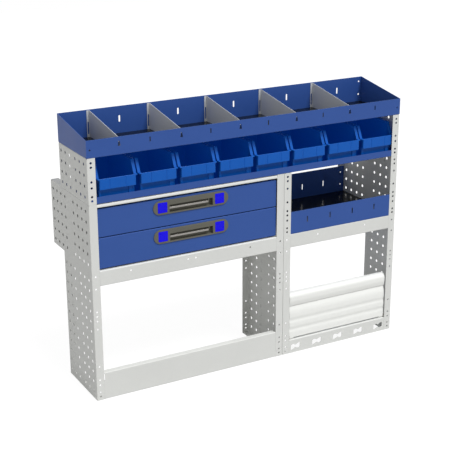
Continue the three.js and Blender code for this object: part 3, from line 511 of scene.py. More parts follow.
# %% [markdown]
# The frames. Each is one sheet: a web punched with 11 mm holes on a 38 mm pitch, and flanges folded in on
# its edges for stiffness and for the bolts. The rear steps out above 482 mm, where the wheel arch ends. The
# web is cut short by the bend's radius on each folded edge, so that the bends take it to its full size. The
# two right frames have no flange behind the lower web, and their deep zone has two bolt holes for the tray
# there. Bolt holes above the step are wider, because they look larger. Other parts stay 0.3 mm clear of the
# frames, which are 2 mm thick in the solids. Here the sheet is thinner, because its edges look thin.

# %% Frame dimensions and holes
BAY, WIDTH, DEPTH, DEEP, ARCH = 762.0, 1270.0, 254.0, 355.0, 186.0
STEP, SEAM, TOP = 482.0, 722.0, 881.7
SHEET, THIN, FLANGE, BEND = 1.2, 1.5, 30.0, 2.6
CLEAR = 0.3
WEB, FLANGE_EDGE = 2.0 + CLEAR, FLANGE + CLEAR
PITCH, HOLE, BOLT, WIDE_BOLT = 38.0, 5.5, 3.4, 4.2
FIRST_COLUMN, LAST_COLUMN, BARE_MIDDLE = 28, 22, 9
LOW_ROWS, DEEP_ROWS, UPPER_ROWS = (29, 460), (STEP + 22.5, 700), (744.3, 860)
BOLT_LINE = 0.48 * FLANGE
LOW_BOLTS = [13.7, 30.3, 57.8, 77.3, 129.2, 270.8, 301.1, 318.4, 335.7, 420.2, 465.0]
DEEP_BOLTS = [495.3, 510.5, 540.1, 560.3, 576.9, 610.8, 662.8, 691.7, 707.6]
REAR_BOLTS = [18.0, 33.0, 63.0, 83.0, 134.0, 274.0, 305.0]
UPPER_BOLTS = [735.1, 749.4, 779.7, 800.4, 850.6, 865.8]
TRAY_BOLTS, TRAY_BOLT, TRAY_BOLT_LINE = (517.3, 568.3), 2.8, 17.3


def hole_grid(depth, split, rows):
    """Holes on the pitch: columns from the front edge and, on a split panel, from the rear edge too."""
    middle = depth / 2 if split else depth - LAST_COLUMN
    columns = list(np.arange(FIRST_COLUMN, middle - BARE_MIDDLE, PITCH))
    columns += list(np.arange(depth - LAST_COLUMN, middle + BARE_MIDDLE, -PITCH))
    return [circle(y, z, HOLE) for y in columns for z in np.arange(*rows, PITCH)]


def bolt_row(heights, start):
    return [circle(z - start, BOLT_LINE, BOLT if z < STEP else WIDE_BOLT, 12) for z in heights]


print(len(hole_grid(DEPTH, True, LOW_ROWS)), "holes in the lower part of a left frame")


# %% Make the frames
def lower_frame(node, x, side, depth, rear_flange, bolts):
    """Web and flanges; side is the way the flanges point along X, and the web's outer face looks away."""
    face = -side * X
    low, rear = BEND, depth - BEND if rear_flange else depth
    step, deep, top = STEP + BEND, DEEP - BEND, SEAM - BEND
    gap = 2 * CLEAR
    corner = [(rear, STEP - gap), (rear, step), (depth + gap, step)] if rear_flange else [(rear, step)]
    outline = [(BEND, low), (rear, low), *corner, (deep, step), (deep, top), (BEND, top)]
    holes = hole_grid(depth, rear_flange, LOW_ROWS) + hole_grid(DEEP, True, DEEP_ROWS)
    shells = [panel(outline, holes, x * X, Y, Z, face)]

    def fold(a, b, out, ends=(0, 0), punched=()):
        start, end = (x * X + p[0] * Y + p[1] * Z for p in (a, b))
        shells.extend(flange(start, end, out, face, FLANGE, BEND, ends, punched))

    fold((BEND, low), (BEND, top), -Y, (BEND, BEND), bolt_row(bolts, low))
    fold((BEND, low), (rear, low), -Z)
    fold((BEND, top), (deep, top), Z)
    tray_bolts = [circle(z - step, TRAY_BOLT_LINE, TRAY_BOLT, 12) for z in TRAY_BOLTS]
    fold((deep, step), (deep, top), Y, (BEND, BEND), () if rear_flange else tray_bolts)
    fold(corner[-1], (deep, step), -Z)
    if rear_flange:
        fold((rear, low), (rear, STEP - gap), Y, (BEND, 0), bolt_row(REAR_BOLTS, low))
    place_piece(node, *thicken(shells, SHEET))


def upper_frame(node, x, side):
    """The extension above the seam: a web with flanges in front, at the rear and on top."""
    face = -side * X
    low, rear, top = SEAM + CLEAR, DEPTH - BEND, TOP - BEND
    outline = [(BEND, low), (rear, low), (rear, top), (BEND, top)]
    shells = [panel(outline, hole_grid(DEPTH, True, UPPER_ROWS), x * X, Y, Z, face)]
    front, back = (x * X + y * Y for y in (BEND, rear))
    bolts = bolt_row(UPPER_BOLTS, low)
    shells += flange(front + low * Z, front + top * Z, -Y, face, FLANGE, BEND, (0, BEND), bolts)
    shells += flange(back + low * Z, back + top * Z, Y, face, FLANGE, BEND, (0, BEND))
    shells += flange(front + top * Z, back + top * Z, Z, face, FLANGE, BEND)
    place_piece(node, *thicken(shells, SHEET))


lower_frame("lower_frame_left", 0, 1, DEPTH, True, LOW_BOLTS)
lower_frame("lower_frame_mid_left", BAY, -1, DEPTH, True, LOW_BOLTS)
lower_frame("lower_frame_mid_right", BAY + CLEAR, 1, ARCH, False, LOW_BOLTS + DEEP_BOLTS)
lower_frame("lower_frame_right", WIDTH, -1, ARCH, False, LOW_BOLTS + DEEP_BOLTS)
upper_frame("upper_frame_left", 0, 1)
upper_frame("upper_frame_right", WIDTH, -1)
print("frames made")

# %% [markdown]
# The trays are sheets folded up on their edges. The top tray has a low lip in front and a high wall at the
# rear, and its ends slope from one to the other. The lip has a slot at each of ten places. At every second
# one, where a divider stands, it is a keyhole that widens downwards, so that the divider's tab drops in and
# locks. The back wall has slots at the places between the dividers.

# %% Top tray
def slot(u, v, width, height):
    """An upright slot with round ends: a rectangle whose corners are rounded by half its width."""
    return rounded(rectangle(u - width / 2, u + width / 2, v - height / 2, v + height / 2), width / 2, 4)


def keyhole(u, v):
    """Narrow above and wide below, 18 mm tall."""
    return rounded([(u - 5.5, v - 9), (u + 5.5, v - 9), (u + 2.0, v + 9), (u - 2.0, v + 9)], 1.5, 3)


BASE, LIP, BACK = 882.0, 61, 101
TRAY_BEND = 2.0
SLOT_RISE, BACK_SLOT_RISE, KEYHOLE_SHIFT = 38, 55.8, 2.5
EDGE_BOLTS = (13, WIDTH - 13)
slot_places = np.arange(1, 11) * WIDTH / 11
low, far_x, far_y = TRAY_BEND, WIDTH - TRAY_BEND, DEPTH - TRAY_BEND
lip_holes = [
    keyhole(x - low + KEYHOLE_SHIFT, SLOT_RISE) if i % 2 == 0 else slot(x - low, SLOT_RISE, 4.5, 18)
    for i, x in enumerate(slot_places)
]
lip_holes += [circle(x - low, 27.5, BOLT, 12) for x in EDGE_BOLTS]
back_holes = [slot(x - low, BACK_SLOT_RISE, 6.5, 23.6) for x in slot_places[1::2]]
back_holes += [circle(x - low, rise, BOLT, 12) for x in EDGE_BOLTS for rise in (31.5, 82.5)]
corners = [x * X + y * Y + BASE * Z for x, y in ((low, low), (far_x, low), (far_x, far_y), (low, far_y))]
reach = TRAY_BEND - THIN
slope = [(far_y - low + reach, BACK), (-reach, LIP)]
shells = [panel(rectangle(low, far_x, low, far_y), [], BASE * Z, X, Y, -Z)]
shells += flange(corners[0], corners[1], -Y, -Z, LIP, TRAY_BEND, (low, low), lip_holes)
shells += flange(corners[3], corners[2], Y, -Z, BACK, TRAY_BEND, (low, low), back_holes)
shells += flange(corners[0], corners[3], -X, -Z, LIP, TRAY_BEND, (reach, reach), [], slope)
shells += flange(corners[1], corners[2], X, -Z, LIP, TRAY_BEND, (reach, reach), [], slope)
place_piece("top_tray", *thicken(shells, THIN))
print(len(lip_holes), "holes in the top tray's lip and", len(back_holes), "in its back")

# %% [markdown]
# The bin tray is shallow. Its floor reaches the webs, and its lips are shorter because they pass between
# the frames' flanges. The right tray is deep, with a high front, a higher back wall and open ends. Each of
# its walls has four upright slots, and its back has bolt holes that meet those in the frames.

# %% Bin tray and right tray
def tray(node, base, z, walls):
    """The base's outline and walls, each with start, end, outward direction, height and holes."""
    shells = [panel(base, [], z * Z, X, Y, -Z)]
    for (x0, y0), (x1, y1), out, height, holes in walls:
        start, end = x0 * X + y0 * Y + z * Z, x1 * X + y1 * Y + z * Z
        shells += flange(start, end, out, -Z, height, TRAY_BEND, (0, 0), holes)
    place_piece(node, *thicken(shells, THIN))


def notched(x0, x1, lip0, lip1, front, rear, notch, rear_notch):
    """A floor whose front edge, and rear edge too if it is notched, is shorter than the floor behind it."""
    outline = [(lip0, front), (lip1, front), (lip1, notch), (x1, notch)]
    if rear_notch:
        outline += [(x1, rear_notch), (lip1, rear_notch), (lip1, rear), (lip0, rear), (lip0, rear_notch)]
        outline += [(x0, rear_notch)]
    else:
        outline += [(x1, rear), (x0, rear)]
    return outline + [(x0, notch), (lip0, notch)]


BIN_LIP, RIGHT_LIP, RIGHT_BACK = 24, 85.7, 109.7
RIGHT_SLOT_PITCH, RIGHT_SLOT_RISE = 101, 48.5

lip0, lip1 = FLANGE_EDGE, WIDTH - FLANGE_EDGE
side0, side1 = WEB + TRAY_BEND, WIDTH - WEB - TRAY_BEND
front, rear = TRAY_BEND, DEPTH - TRAY_BEND
side_rear = DEPTH - BEND
bin_floor = notched(side0, side1, lip0, lip1, front, rear, BEND, side_rear)
tray("bin_tray", bin_floor, SEAM + CLEAR, [
    ((lip0, front), (lip1, front), -Y, BIN_LIP, []), ((lip0, rear), (lip1, rear), Y, BIN_LIP, []),
    ((side0, BEND), (side0, side_rear), -X, BIN_LIP, []), ((side1, BEND), (side1, side_rear), X, BIN_LIP, []),
])

end0, end1, tray_rear = BAY + CLEAR + WEB, WIDTH - WEB, DEEP - WEB - TRAY_BEND
deep0, deep1 = BAY + CLEAR + FLANGE_EDGE, WIDTH - FLANGE_EDGE
right_middle = (deep0 + deep1) / 2
right_slots = right_middle + RIGHT_SLOT_PITCH * (np.arange(4) - 1.5)
deep_floor = notched(end0, end1, deep0, deep1, TRAY_BEND, tray_rear, BEND, None)
front_slots = [slot(x - deep0, RIGHT_SLOT_RISE, 5, 23) for x in right_slots]
rear_slots = [slot(x - end0, RIGHT_SLOT_RISE, 4, 23) for x in right_slots]
rises = [z - STEP - WEB for z in TRAY_BOLTS]
bolt_places = end0 + TRAY_BOLT_LINE - WEB, end1 - TRAY_BOLT_LINE + WEB
rear_slots += [circle(x - end0, rise, BOLT, 12) for x in bolt_places for rise in rises]
tray("right_tray", deep_floor, STEP + WEB, [
    ((deep0, TRAY_BEND), (deep1, TRAY_BEND), -Y, RIGHT_LIP, front_slots),
    ((end0, tray_rear), (end1, tray_rear), Y, RIGHT_BACK, rear_slots),
])
print("the right tray is", round(end1 - end0, 1), "mm wide inside the frames")

# %% [markdown]
# A divider is a small plate that slopes like the tray's ends and stands on the mat. A flange folded along
# its rear edge rests on the back wall and has a long slot. In front a small tab sits in the lip's keyhole,
# with a notch in the plate under it.

# %% Dividers
ON_MAT, DROP, DIVIDER_BEND, DIVIDER_FLANGE = 4.1, 2.0, 1.9, 10.5
TAB, NOTCH, DIVIDER_SHIFT = 0.7, 10, 2.25


def divider(node, x):
    """Plate and rear flange: the plate's outer face looks to +X and the flange folds to -X."""
    low, lip, back_top = BASE + ON_MAT, BASE + LIP - DROP, BASE + BACK - DROP
    front, rear = THIN + CLEAR, DEPTH - THIN - CLEAR
    fold = rear - DIVIDER_BEND
    top = lip + (back_top - lip) * (fold - front) / (rear - front)
    outline = [
        (front, low), (fold, low), (fold, top), (front, lip), (front, 929.5), (TAB, 929), (TAB, 926),
        (front, 925.5), (NOTCH, 925), (NOTCH, 909), (front, 908.5),
    ]
    shells = [panel(outline, [], x * X, Y, Z, X)]
    start, end = (x * X + fold * Y + z * Z for z in (low, top))
    hole = rounded(rectangle(10, 54, 3.0, 8.2), 2.5, 4)
    shells += flange(start, end, Y, X, DIVIDER_FLANGE, DIVIDER_BEND, (0, 0), [hole])
    place_piece(node, *thicken(shells, THIN))


for i, x in enumerate(slot_places[::2]):
    divider(f"top_divider_{i + 1}", x + DIVIDER_SHIFT)
print("trays and dividers made")

# %% [markdown]
# Cross rails, kick panel and kick rail tie the frames together between their front flanges. Each is a front
# face with a flange folded back along the top, and all but the kick rail have a return below. The kick
# panel has a small notch at its left end. The lashing slots in the kick rail are two round-cornered windows
# joined by a narrow neck, leaning up to the right.

# %% Rails
def rail(node, x0, x1, low, top, flange_width, return_width, holes=(), outline=None, top_bend=BEND):
    """The front face looks to -Y at y = 0; the flange and the return fold back to +Y."""
    bottom = low + BEND if return_width else low
    outline = outline or rectangle(x0, x1, bottom, top - top_bend)
    shells = [panel(outline, holes, np.zeros(3), X, Z, -Y)]
    start, end = x0 * X + (top - top_bend) * Z, x1 * X + (top - top_bend) * Z
    shells += flange(start, end, Z, -Y, flange_width, top_bend)
    if return_width:
        start, end = x0 * X + bottom * Z, x1 * X + bottom * Z
        shells += flange(start, end, -Z, -Y, return_width, BEND)
    place_piece(node, *thicken(shells, THIN))


def lashing_slot(x, z=25, half=20, height=20, neck=9, lean=3):
    """Two windows and a neck: the outline's ends are shifted down on the left and up on the right."""
    shoulder = half / 2
    return rounded([
        (x - half, z - height / 2 - lean), (x - shoulder, z - height / 2), (x, z - neck / 2),
        (x + shoulder, z - height / 2), (x + half, z - height / 2 + lean),
        (x + half, z + height / 2 + lean), (x + shoulder, z + height / 2), (x, z + neck / 2),
        (x - shoulder, z + height / 2), (x - half, z + height / 2 - lean),
    ], 3)


RAIL_TOP, RAIL_BOLTS, RAIL_RETURN = 484, 465, 15
KICK_TOP, KICK_FLANGE, KICK_NOTCH, NOTCH_HEIGHTS = 101.5, 22, 3.5, (74, 97)
KICK_RAIL_TOP, KICK_RAIL_FLANGE, LASHING_PITCH = 54.5, 25, 97
left0, left1 = FLANGE_EDGE, BAY - FLANGE_EDGE

rail_holes = [circle(x, RAIL_BOLTS, BOLT, 12) for x in (146.0, 367.0, 397.8, 619.5)]
rail("left_cross_rail", left0, left1, 428.5, RAIL_TOP, FLANGE, RAIL_RETURN, rail_holes, top_bend=4)
rail_holes = [circle(x, RAIL_BOLTS, BOLT, 12) for x in (913.3, 1127.9)]
rail("right_cross_rail", deep0, deep1, 431.5, RAIL_TOP, FLANGE, RAIL_RETURN, rail_holes)
notch = rectangle(left0, left0 + KICK_NOTCH, *NOTCH_HEIGHTS)[[3, 2, 1, 0]]
kick_face = [*rectangle(left0, left1, BEND, KICK_TOP - BEND), *notch]
rail("kick_panel", left0, left1, 0, KICK_TOP, KICK_FLANGE, RAIL_RETURN, (), kick_face)
ties = [lashing_slot(right_middle + LASHING_PITCH * (i - 2)) for i in range(5)]
rail("kick_rail", deep0, deep1, 0, KICK_RAIL_TOP, KICK_RAIL_FLANGE, 0, ties)
print("rails made")

# %% [markdown]
# The drawer cabinet is a sheet wrapped round the drawers, open in front, with a back that reaches out to
# the frames. Its top runs on to the front and turns up there, into a strip with a rolled edge. A closed
# loop of sheet is made from its section, an outline with rounded corners and the same outline set in,
# carried along Y.

# %% Cabinet
def combine(parts):
    """Puts several sheets or solids (points, triangles, normals) into one mesh, side by side."""
    start = np.cumsum([0] + [len(part[0]) for part in parts[:-1]])
    triangles = np.vstack([part[1] + offset for part, offset in zip(parts, start)])
    return np.vstack([part[0] for part in parts]), triangles, np.concatenate([part[2] for part in parts])


def slab(outline, holes, origin, across, upward, normal, thickness):
    """A plate: one flat face, given its thickness against the normal."""
    return thicken([panel(outline, holes, origin, across, upward, normal)], thickness)


LEDGE, ROLL = 22, 9.5
cab_low, cab_top, cab_rear = STEP + WEB, 711.0, DEEP - WEB
strip_top = SEAM - CLEAR
section = rounded(rectangle(left0, left1, cab_low, cab_top), 3, 5)
hollow = rounded(rectangle(left0 + THIN, left1 - THIN, cab_low + THIN, cab_top - THIN), 1.5, 5)
wrap = slab(section, [hollow], (cab_rear - THIN) * Y, X, Z, Y, cab_rear - THIN - LEDGE)
strip_face = panel(rectangle(left0, left1, cab_top - THIN, strip_top - ROLL), [], 0 * Y, X, Z, -Y)
strip_ends = [x * X + (strip_top - ROLL) * Z for x in (left0, left1)]
upturn = thicken([strip_face, *flange(*strip_ends, Z, -Y, ROLL + 0.5, ROLL)], THIN)
ledge = slab(rectangle(left0, left1, 1, LEDGE), [], cab_top * Z, X, Y, Z, THIN)
ends = [slab(rectangle(1.5, LEDGE, cab_top - 3, cab_top - THIN), [], x * X, Y, Z, side * X, THIN)
        for x, side in ((left0, -1), (left1, 1))]
back_sheet = slab(rectangle(WEB, BAY - WEB, cab_low, cab_top), [], cab_rear * Y, X, Z, Y, THIN)
place_piece("drawer_cabinet", *combine([wrap, ledge, upturn, *ends, back_sheet]))
print("the cabinet is", round(cab_rear, 1), "mm deep")

# %% [markdown]
# Drawer fronts are pans: a face folded back on all four sides, with a second small fold behind, and a
# window for the handle's finger cup. The drawer behind is a plain box of thin sheet, open at the top.

# %% Drawer fronts and boxes
# For each front: its lower and upper edge, and the height of its handle's middle.
FRONTS = {"lower": (488.8, 598.5, 565.4), "upper": (601.5, 702.0, 670.3)}
FACE_Y, PAN, PAN_BEND, PAN_RETURN = 5.0, 16.0, 2.2, 13
RETURN_CUT, CUP_GAP = 11, 2.3
CUP_X, CUP_BELOW, CUP_ABOVE = (299.0, 468.0), 21.5, 6.5
BOX_X, BOX_Y, BOX_RISE, BOX_SHORTER, BOX_BEND = (45.1, 716.9), (21.3, 334.3), 6, 19, 2.0


def cup_heights(middle):
    return middle - CUP_BELOW, middle + CUP_ABOVE


def drawer_front(level):
    """Face, four walls and their returns; the returns' corners are cut off, so that they don't meet."""
    low, top, middle = FRONTS[level]
    r = PAN_BEND
    x0, x1, z0, z1 = left0 + r, left1 - r, low + r, top - r
    cup = cup_heights(middle)
    window = rectangle(CUP_X[0] - CUP_GAP, CUP_X[1] + CUP_GAP, cup[0] - CUP_GAP, cup[1] + CUP_GAP)
    shells = [panel(rectangle(x0, x1, z0, z1), [window], FACE_Y * Y, X, Z, -Y)]
    corner = [x * X + FACE_Y * Y + z * Z for x, z in ((x0, z0), (x1, z0), (x1, z1), (x0, z1))]
    for i, out in enumerate((-Z, X, Z, -X)):
        start, end = corner[i], corner[(i + 1) % 4]
        shells += flange(start, end, out, -Y, PAN - r, r)
        back_start, back_end = (p + r * out + (PAN - r) * Y for p in (start, end))
        edge = [(np.linalg.norm(end - start) - RETURN_CUT, PAN_RETURN), (RETURN_CUT, PAN_RETURN)]
        shells += flange(back_start, back_end, Y, out, PAN_RETURN, r, edge=edge)
    place_piece(f"{level}_drawer_front", *thicken(shells, THIN))


def drawer_box(level):
    """A floor with four walls folded up, 1.5 mm thick, with flush corners."""
    low, top, _ = FRONTS[level]
    z, height, r = low + BOX_RISE, top - low - BOX_SHORTER, BOX_BEND
    x0, x1, y0, y1 = BOX_X[0] + r, BOX_X[1] - r, BOX_Y[0] + r, BOX_Y[1] - r
    shells = [panel(rectangle(x0, x1, y0, y1), [], z * Z, X, Y, -Z)]
    corner = [x * X + y * Y + z * Z for x, y in ((x0, y0), (x1, y0), (x1, y1), (x0, y1))]
    for i, out in enumerate((-Y, X, Y, -X)):
        reach = r if i % 2 == 0 else r - THIN
        shells += flange(corner[i], corner[(i + 1) % 4], out, -Z, height, r, (reach, reach))
    place_piece(f"{level}_drawer_box", *thicken(shells, THIN))


for level in FRONTS:
    drawer_front(level)
    drawer_box(level)
print("drawers made")

# %% [markdown]
# Runners. Each side of a drawer has three nested channels of rolled steel with balls between them. The
# outer one is fixed to the cabinet, the middle one travels half as far as the drawer, and the inner one is
# on the drawer. Slots and screw holes are punched through the webs.

# %% Runners
RUNNER_SHEET, RUNNER_BEND, RUNNER_WIDTH, RUNNER_RISE = 1.2, 1.9, 9.7, 40.5
RUNNER_FRONT, RUNNER_REAR = 25.0, 333.0


def channel(node, x, side, height, middle):
    """Web at x looking against side, and two flanges that point along side."""
    y0, y1, half = RUNNER_FRONT, RUNNER_REAR, height / 2 - RUNNER_BEND
    face = -side * X
    holes = [slot(y, middle, 5, 14) for y in (y0 + 30, y0 + 150, y1 - 30)]
    holes += [circle(y, middle, 2.3, 10) for y in (y0 + 62, y0 + 110, y1 - 110, y1 - 62)]
    shells = [panel(rectangle(y0, y1, middle - half, middle + half), holes, x * X, Y, Z, face)]
    for z, out in ((middle - half, -Z), (middle + half, Z)):
        start, end = (x * X + y * Y + z * Z for y in (y0, y1))
        shells += flange(start, end, out, face, RUNNER_WIDTH, RUNNER_BEND)
    place_piece(node, *thicken(shells, RUNNER_SHEET))


nest = RUNNER_SHEET + CLEAR
for level, (low, _, _) in FRONTS.items():
    middle = low + RUNNER_RISE
    for word, side, wall in (("left", 1, left0 + THIN), ("right", -1, left1 - THIN)):
        base = f"{level}_runner_{word}"
        channel(f"{base}_outer", wall + side * CLEAR, side, 45, middle)
        channel(f"{base}_mid", wall + side * (CLEAR + nest), side, 42, middle)
        channel(f"{base}_inner", wall + side * (CLEAR + 2 * nest + RUNNER_WIDTH), -side, 39, middle)
print("runners made")

# %% [markdown]
# Handles. A moulded bezel with round ends has a finger cup in its middle, a bright sprung lever across the
# cup and a square cap at each end that hides a screw. Flat faces are panels with windows, and each edge
# gets a small rounding from rings of points that step from the face to the side.

# %% Rings for moulded edges
def ring_wall(*rings):
    """Closed rings of equal length, joined one to the next; each ring is (outline in x and z, y)."""
    grid = np.array([[(u, y, v) for u, v in np.vstack([outline, outline[:1]])] for outline, y in rings])
    return grid.reshape(-1, 3), np.zeros((grid.shape[0] * grid.shape[1], 3)), strip(grid)


def grown(outline, by):
    """Moves each point out from the outline by the mean of its two side normals."""
    outline = np.asarray(outline, float)
    along = np.roll(outline, -1, axis=0) - outline
    size = np.linalg.norm(along, axis=1, keepdims=True)
    along = along / np.maximum(size, 1e-9)
    normal = np.stack([along[:, 1], -along[:, 0]], axis=1)
    mean = normal + np.roll(normal, 1, axis=0)
    scale = np.maximum((mean * mean).sum(axis=1, keepdims=True) / 2, 0.4)
    return outline + by * mean / scale


def plate_y(outline, holes, y):
    return panel(outline, holes, y * Y, X, Z, -Y)


def stadium(x, z, width, height):
    """Two half circles joined by straight sides."""
    angle = np.linspace(-np.pi / 2, np.pi / 2, 15)
    reach = width / 2 - height / 2
    end = np.stack([reach + height / 2 * np.cos(angle), height / 2 * np.sin(angle)], axis=1)
    return np.vstack([end, -end]) + (x, z)


def soft_square(x, z, width, height):
    return rounded(rectangle(x - width / 2, x + width / 2, z - height / 2, z + height / 2), 3, 6)


print("a handle's outline has", len(stadium(0, 0, 294, 51)), "points")

# %% [markdown]
# The bezel is one closed skin: its face, the rounded rim down to its back, the cup's walls and floor, the
# shaft behind the cup and two shallow pockets for the caps. A lug in the cup carries the lever's right pin.

# %% Handles
HANDLE_X, HANDLE_WIDTH, HANDLE_HEIGHT = 383.5, 294, 51
HANDLE_FACE, HANDLE_BACK, CUP_DEEP, SHAFT_DEEP, POCKET_DEEP = 1.7, 4.7, 18.2, 20.2, 3.2
CAP_PLACES = {"left": HANDLE_X - 111.5, "right": HANDLE_X + 111.5}
LUG_X, LUG_THICK, LUG_Y, LUG_BELOW = 450.6, 2.5, (2.2, 11), 4.2


def handle(level):
    """Bezel, cup, shaft, two pockets and the lug."""
    middle = FRONTS[level][2]
    low, top = cup_heights(middle)
    body = stadium(HANDLE_X, middle, HANDLE_WIDTH, HANDLE_HEIGHT)
    rim = grown(body, -1.2)
    cup = rounded(rectangle(*CUP_X, low, top), 2.5, 6)
    shaft = rounded(rectangle(CUP_X[0] - 2, CUP_X[1] + 2, low - 2, top + 2), 3.5, 6)
    pockets = [soft_square(x, middle, 36.6, 37.6) for x in CAP_PLACES.values()]
    mouths = [grown(cup, 0.8), *[grown(pocket, 0.3) for pocket in pockets]]
    shells = [
        plate_y(rim, mouths, HANDLE_FACE),
        ring_wall((rim, HANDLE_FACE), (grown(body, -0.35), 2.05), (body, 2.9), (body, HANDLE_BACK)),
        ring_wall((mouths[0], HANDLE_FACE), (grown(cup, 0.2), 2.0), (cup, 2.8), (cup, CUP_DEEP)),
        plate_y(cup, [], CUP_DEEP),
        plate_y(body, [shaft], HANDLE_BACK),
        ring_wall((shaft, HANDLE_BACK), (shaft, SHAFT_DEEP)),
        plate_y(shaft, [], SHAFT_DEEP),
    ]
    for pocket, mouth in zip(pockets, mouths[1:]):
        shells.append(ring_wall((mouth, HANDLE_FACE), (pocket, 2.0), (pocket, POCKET_DEEP)))
        shells.append(plate_y(pocket, [], POCKET_DEEP))
    points, _, triangles = weld(shells)
    lug = slab(rectangle(*LUG_Y, middle - LUG_BELOW, top + 0.5), [], LUG_X * X, Y, Z, -X, LUG_THICK)
    points, triangles, _ = combine([(points, triangles, np.zeros((len(triangles), 3, 3))), lug])
    place_piece(f"{level}_handle", points, triangles)


print("a finger cup is", CUP_X[1] - CUP_X[0], "mm wide")

# %% [markdown]
# The lever is an L section with rounded edges, carried across the cup, and a short pin at each end is its
# hinge. A cap is a button with a slightly crowned face, made of rings that shrink as they come forward. Each
# drawer then gets its handle, lever and two caps.

# %% Levers and caps
LEVER_RIGHT, LEVER_LENGTH, LEVER_DROP, LEVER_HEIGHT, FOOT_HEIGHT = 450.3, 151, 0.8, 7.0, 1.8
LEVER_FRONT, LEVER_BACK, LEVER_FOOT = 2.2, 4.8, 9.2
TRUNNION_Y, TRUNNION_DROP, TRUNNION = 3.4, 2.2, 1.2


def lever(level):
    """An L section, its corners listed from below in front, and a pin at each end."""
    middle = FRONTS[level][2]
    top = middle - LEVER_DROP
    low = top - LEVER_HEIGHT
    foot = low + FOOT_HEIGHT
    section = rounded([
        (LEVER_FRONT, low), (LEVER_FOOT, low), (LEVER_FOOT, foot), (LEVER_BACK, foot), (LEVER_BACK, top),
        (LEVER_FRONT, top),
    ], [1.2, 0.8, 0.8, 1.0, 0.6, 0.6], 5)
    bar = slab(section, [], LEVER_RIGHT * X, Y, Z, X, LEVER_LENGTH)
    round_pin = circle(TRUNNION_Y, middle - TRUNNION_DROP, TRUNNION, 14)
    pins = [slab(round_pin, [], x * X, Y, Z, X, size) for x, size in ((299.4, 1.1), (451.8, 1.6))]
    points, triangles, _ = combine([bar, *pins])
    place_piece(f"{level}_lever", points, triangles)


def cap(level, word):
    """The back, the side, two rings of the rounded edge and the face."""
    outline = soft_square(CAP_PLACES[word], FRONTS[level][2], 36, 37)
    face = grown(outline, -0.9)
    rings = [(outline, 2.9), (outline, 1.7), (grown(outline, -0.25), 1.35), (face, 1.15)]
    points, _, triangles = weld([ring_wall(*rings), plate_y(outline, [], 2.9), plate_y(face, [], 1.15)])
    place_piece(f"{level}_cap_{word}", points, triangles, angle=50)


for level in FRONTS:
    handle(level)
    lever(level)
    for word in CAP_PLACES:
        cap(level, word)
print("handles, levers and caps made")

# %% [markdown]
# The bins. A hopper bin is one moulding: a deep box whose front is cut down, with cheeks that slope up to
# the full height and a rim that flares out along both sides for carrying. It is made as one closed skin
# from rings round the bin, up the outside, over the rim and down the inside. Every ring has the same
# points, so that two fine grooves in the front band, left for labels, run through all of them. The points
# lie closer together at the grooves and along the sloping cheeks.

# %% One ring round a bin
BIN_LOW, BIN_FRONT_TOP, BIN_TOP = 724.1, 804.6, 849.1
BIN_FRONT, BIN_REAR, BIN_HALF = 5.0, 240.0, 67.0
CHEEK_FROM, CHEEK_DEPTH = 13, 21
GROOVES, GROOVE_HALF = (-0.463, 0.463), 0.026
groove_points = [groove + np.linspace(-0.032, 0.032, 5) for groove in GROOVES]
front_share = np.sort(np.concatenate([np.linspace(-1, 1, 7), *groove_points]))
front_dent = np.max([np.clip(1 - abs(front_share - g) / GROOVE_HALF, 0, 1) for g in GROOVES], axis=0)
side_y = np.array([12.0, 16, 18, 22, 28, 34, 39, 42, 60, 110, 160, 200])


def bin_ring(half, front, rear, corner, height, dent=0.0):
    """A rounded box in plan; height is one z or a function of y, and dent is the grooves' depth."""
    quarter = np.linspace(0, np.pi / 2, 5)[:-1]
    wide = half - corner
    front_row = np.stack([front_share * wide, front + dent * front_dent], axis=1)
    turn = np.stack([np.sin(quarter), 1 - np.cos(quarter)], axis=1) * corner
    right_front = turn[1:] + (wide, front)
    right_side = np.stack([np.full(len(side_y), half), np.maximum(side_y, front + corner)], axis=1)
    rear_turn = np.stack([wide + corner * np.cos(quarter), rear - corner + corner * np.sin(quarter)], axis=1)
    rear_row = np.array([(0.5 * wide, rear), (0, rear)])
    right = np.vstack([right_front, right_side, rear_turn, [(wide, rear)], rear_row])
    left = right[:-1][::-1] * (-1, 1)
    plan = np.vstack([front_row, right, left])
    z = height(plan[:, 1]) if callable(height) else np.full(len(plan), height)
    return np.column_stack([plan, z])


def rim_height(drop):
    """The top edge: low at the front, then a straight slope up the cheeks, then level."""
    rise = BIN_TOP - BIN_FRONT_TOP
    return lambda y: BIN_FRONT_TOP - drop + rise * np.clip((y - BIN_FRONT - CHEEK_FROM) / CHEEK_DEPTH, 0, 1)


print("a ring has", len(bin_ring(BIN_HALF, BIN_FRONT, BIN_REAR, 4, BIN_LOW)), "points")

# %% [markdown]
# Each ring is given by how far it stands out from the bin's side, how far it is set in from the front and
# from the rear, its corner radius and its height, and the grooves' depth where they run. Under the front
# band the body is set back 13 mm. Two ribs stand on that set-back face, one at the left side and one towards
# the right. The eight bins are equal and stand on one pitch.

# %% Bins
BAND_LOW, BIN_WALL, BIN_FLOOR = 765.8, 2.5, 726.7
RIBS, RIB_FRONT, RIB_REAR, RIB_TALL = ((-66.5, -57), (43, 57)), 15.0, 18.6, 41.2
BINS_MIDDLE, BIN_PITCH = 644.05, 152.3

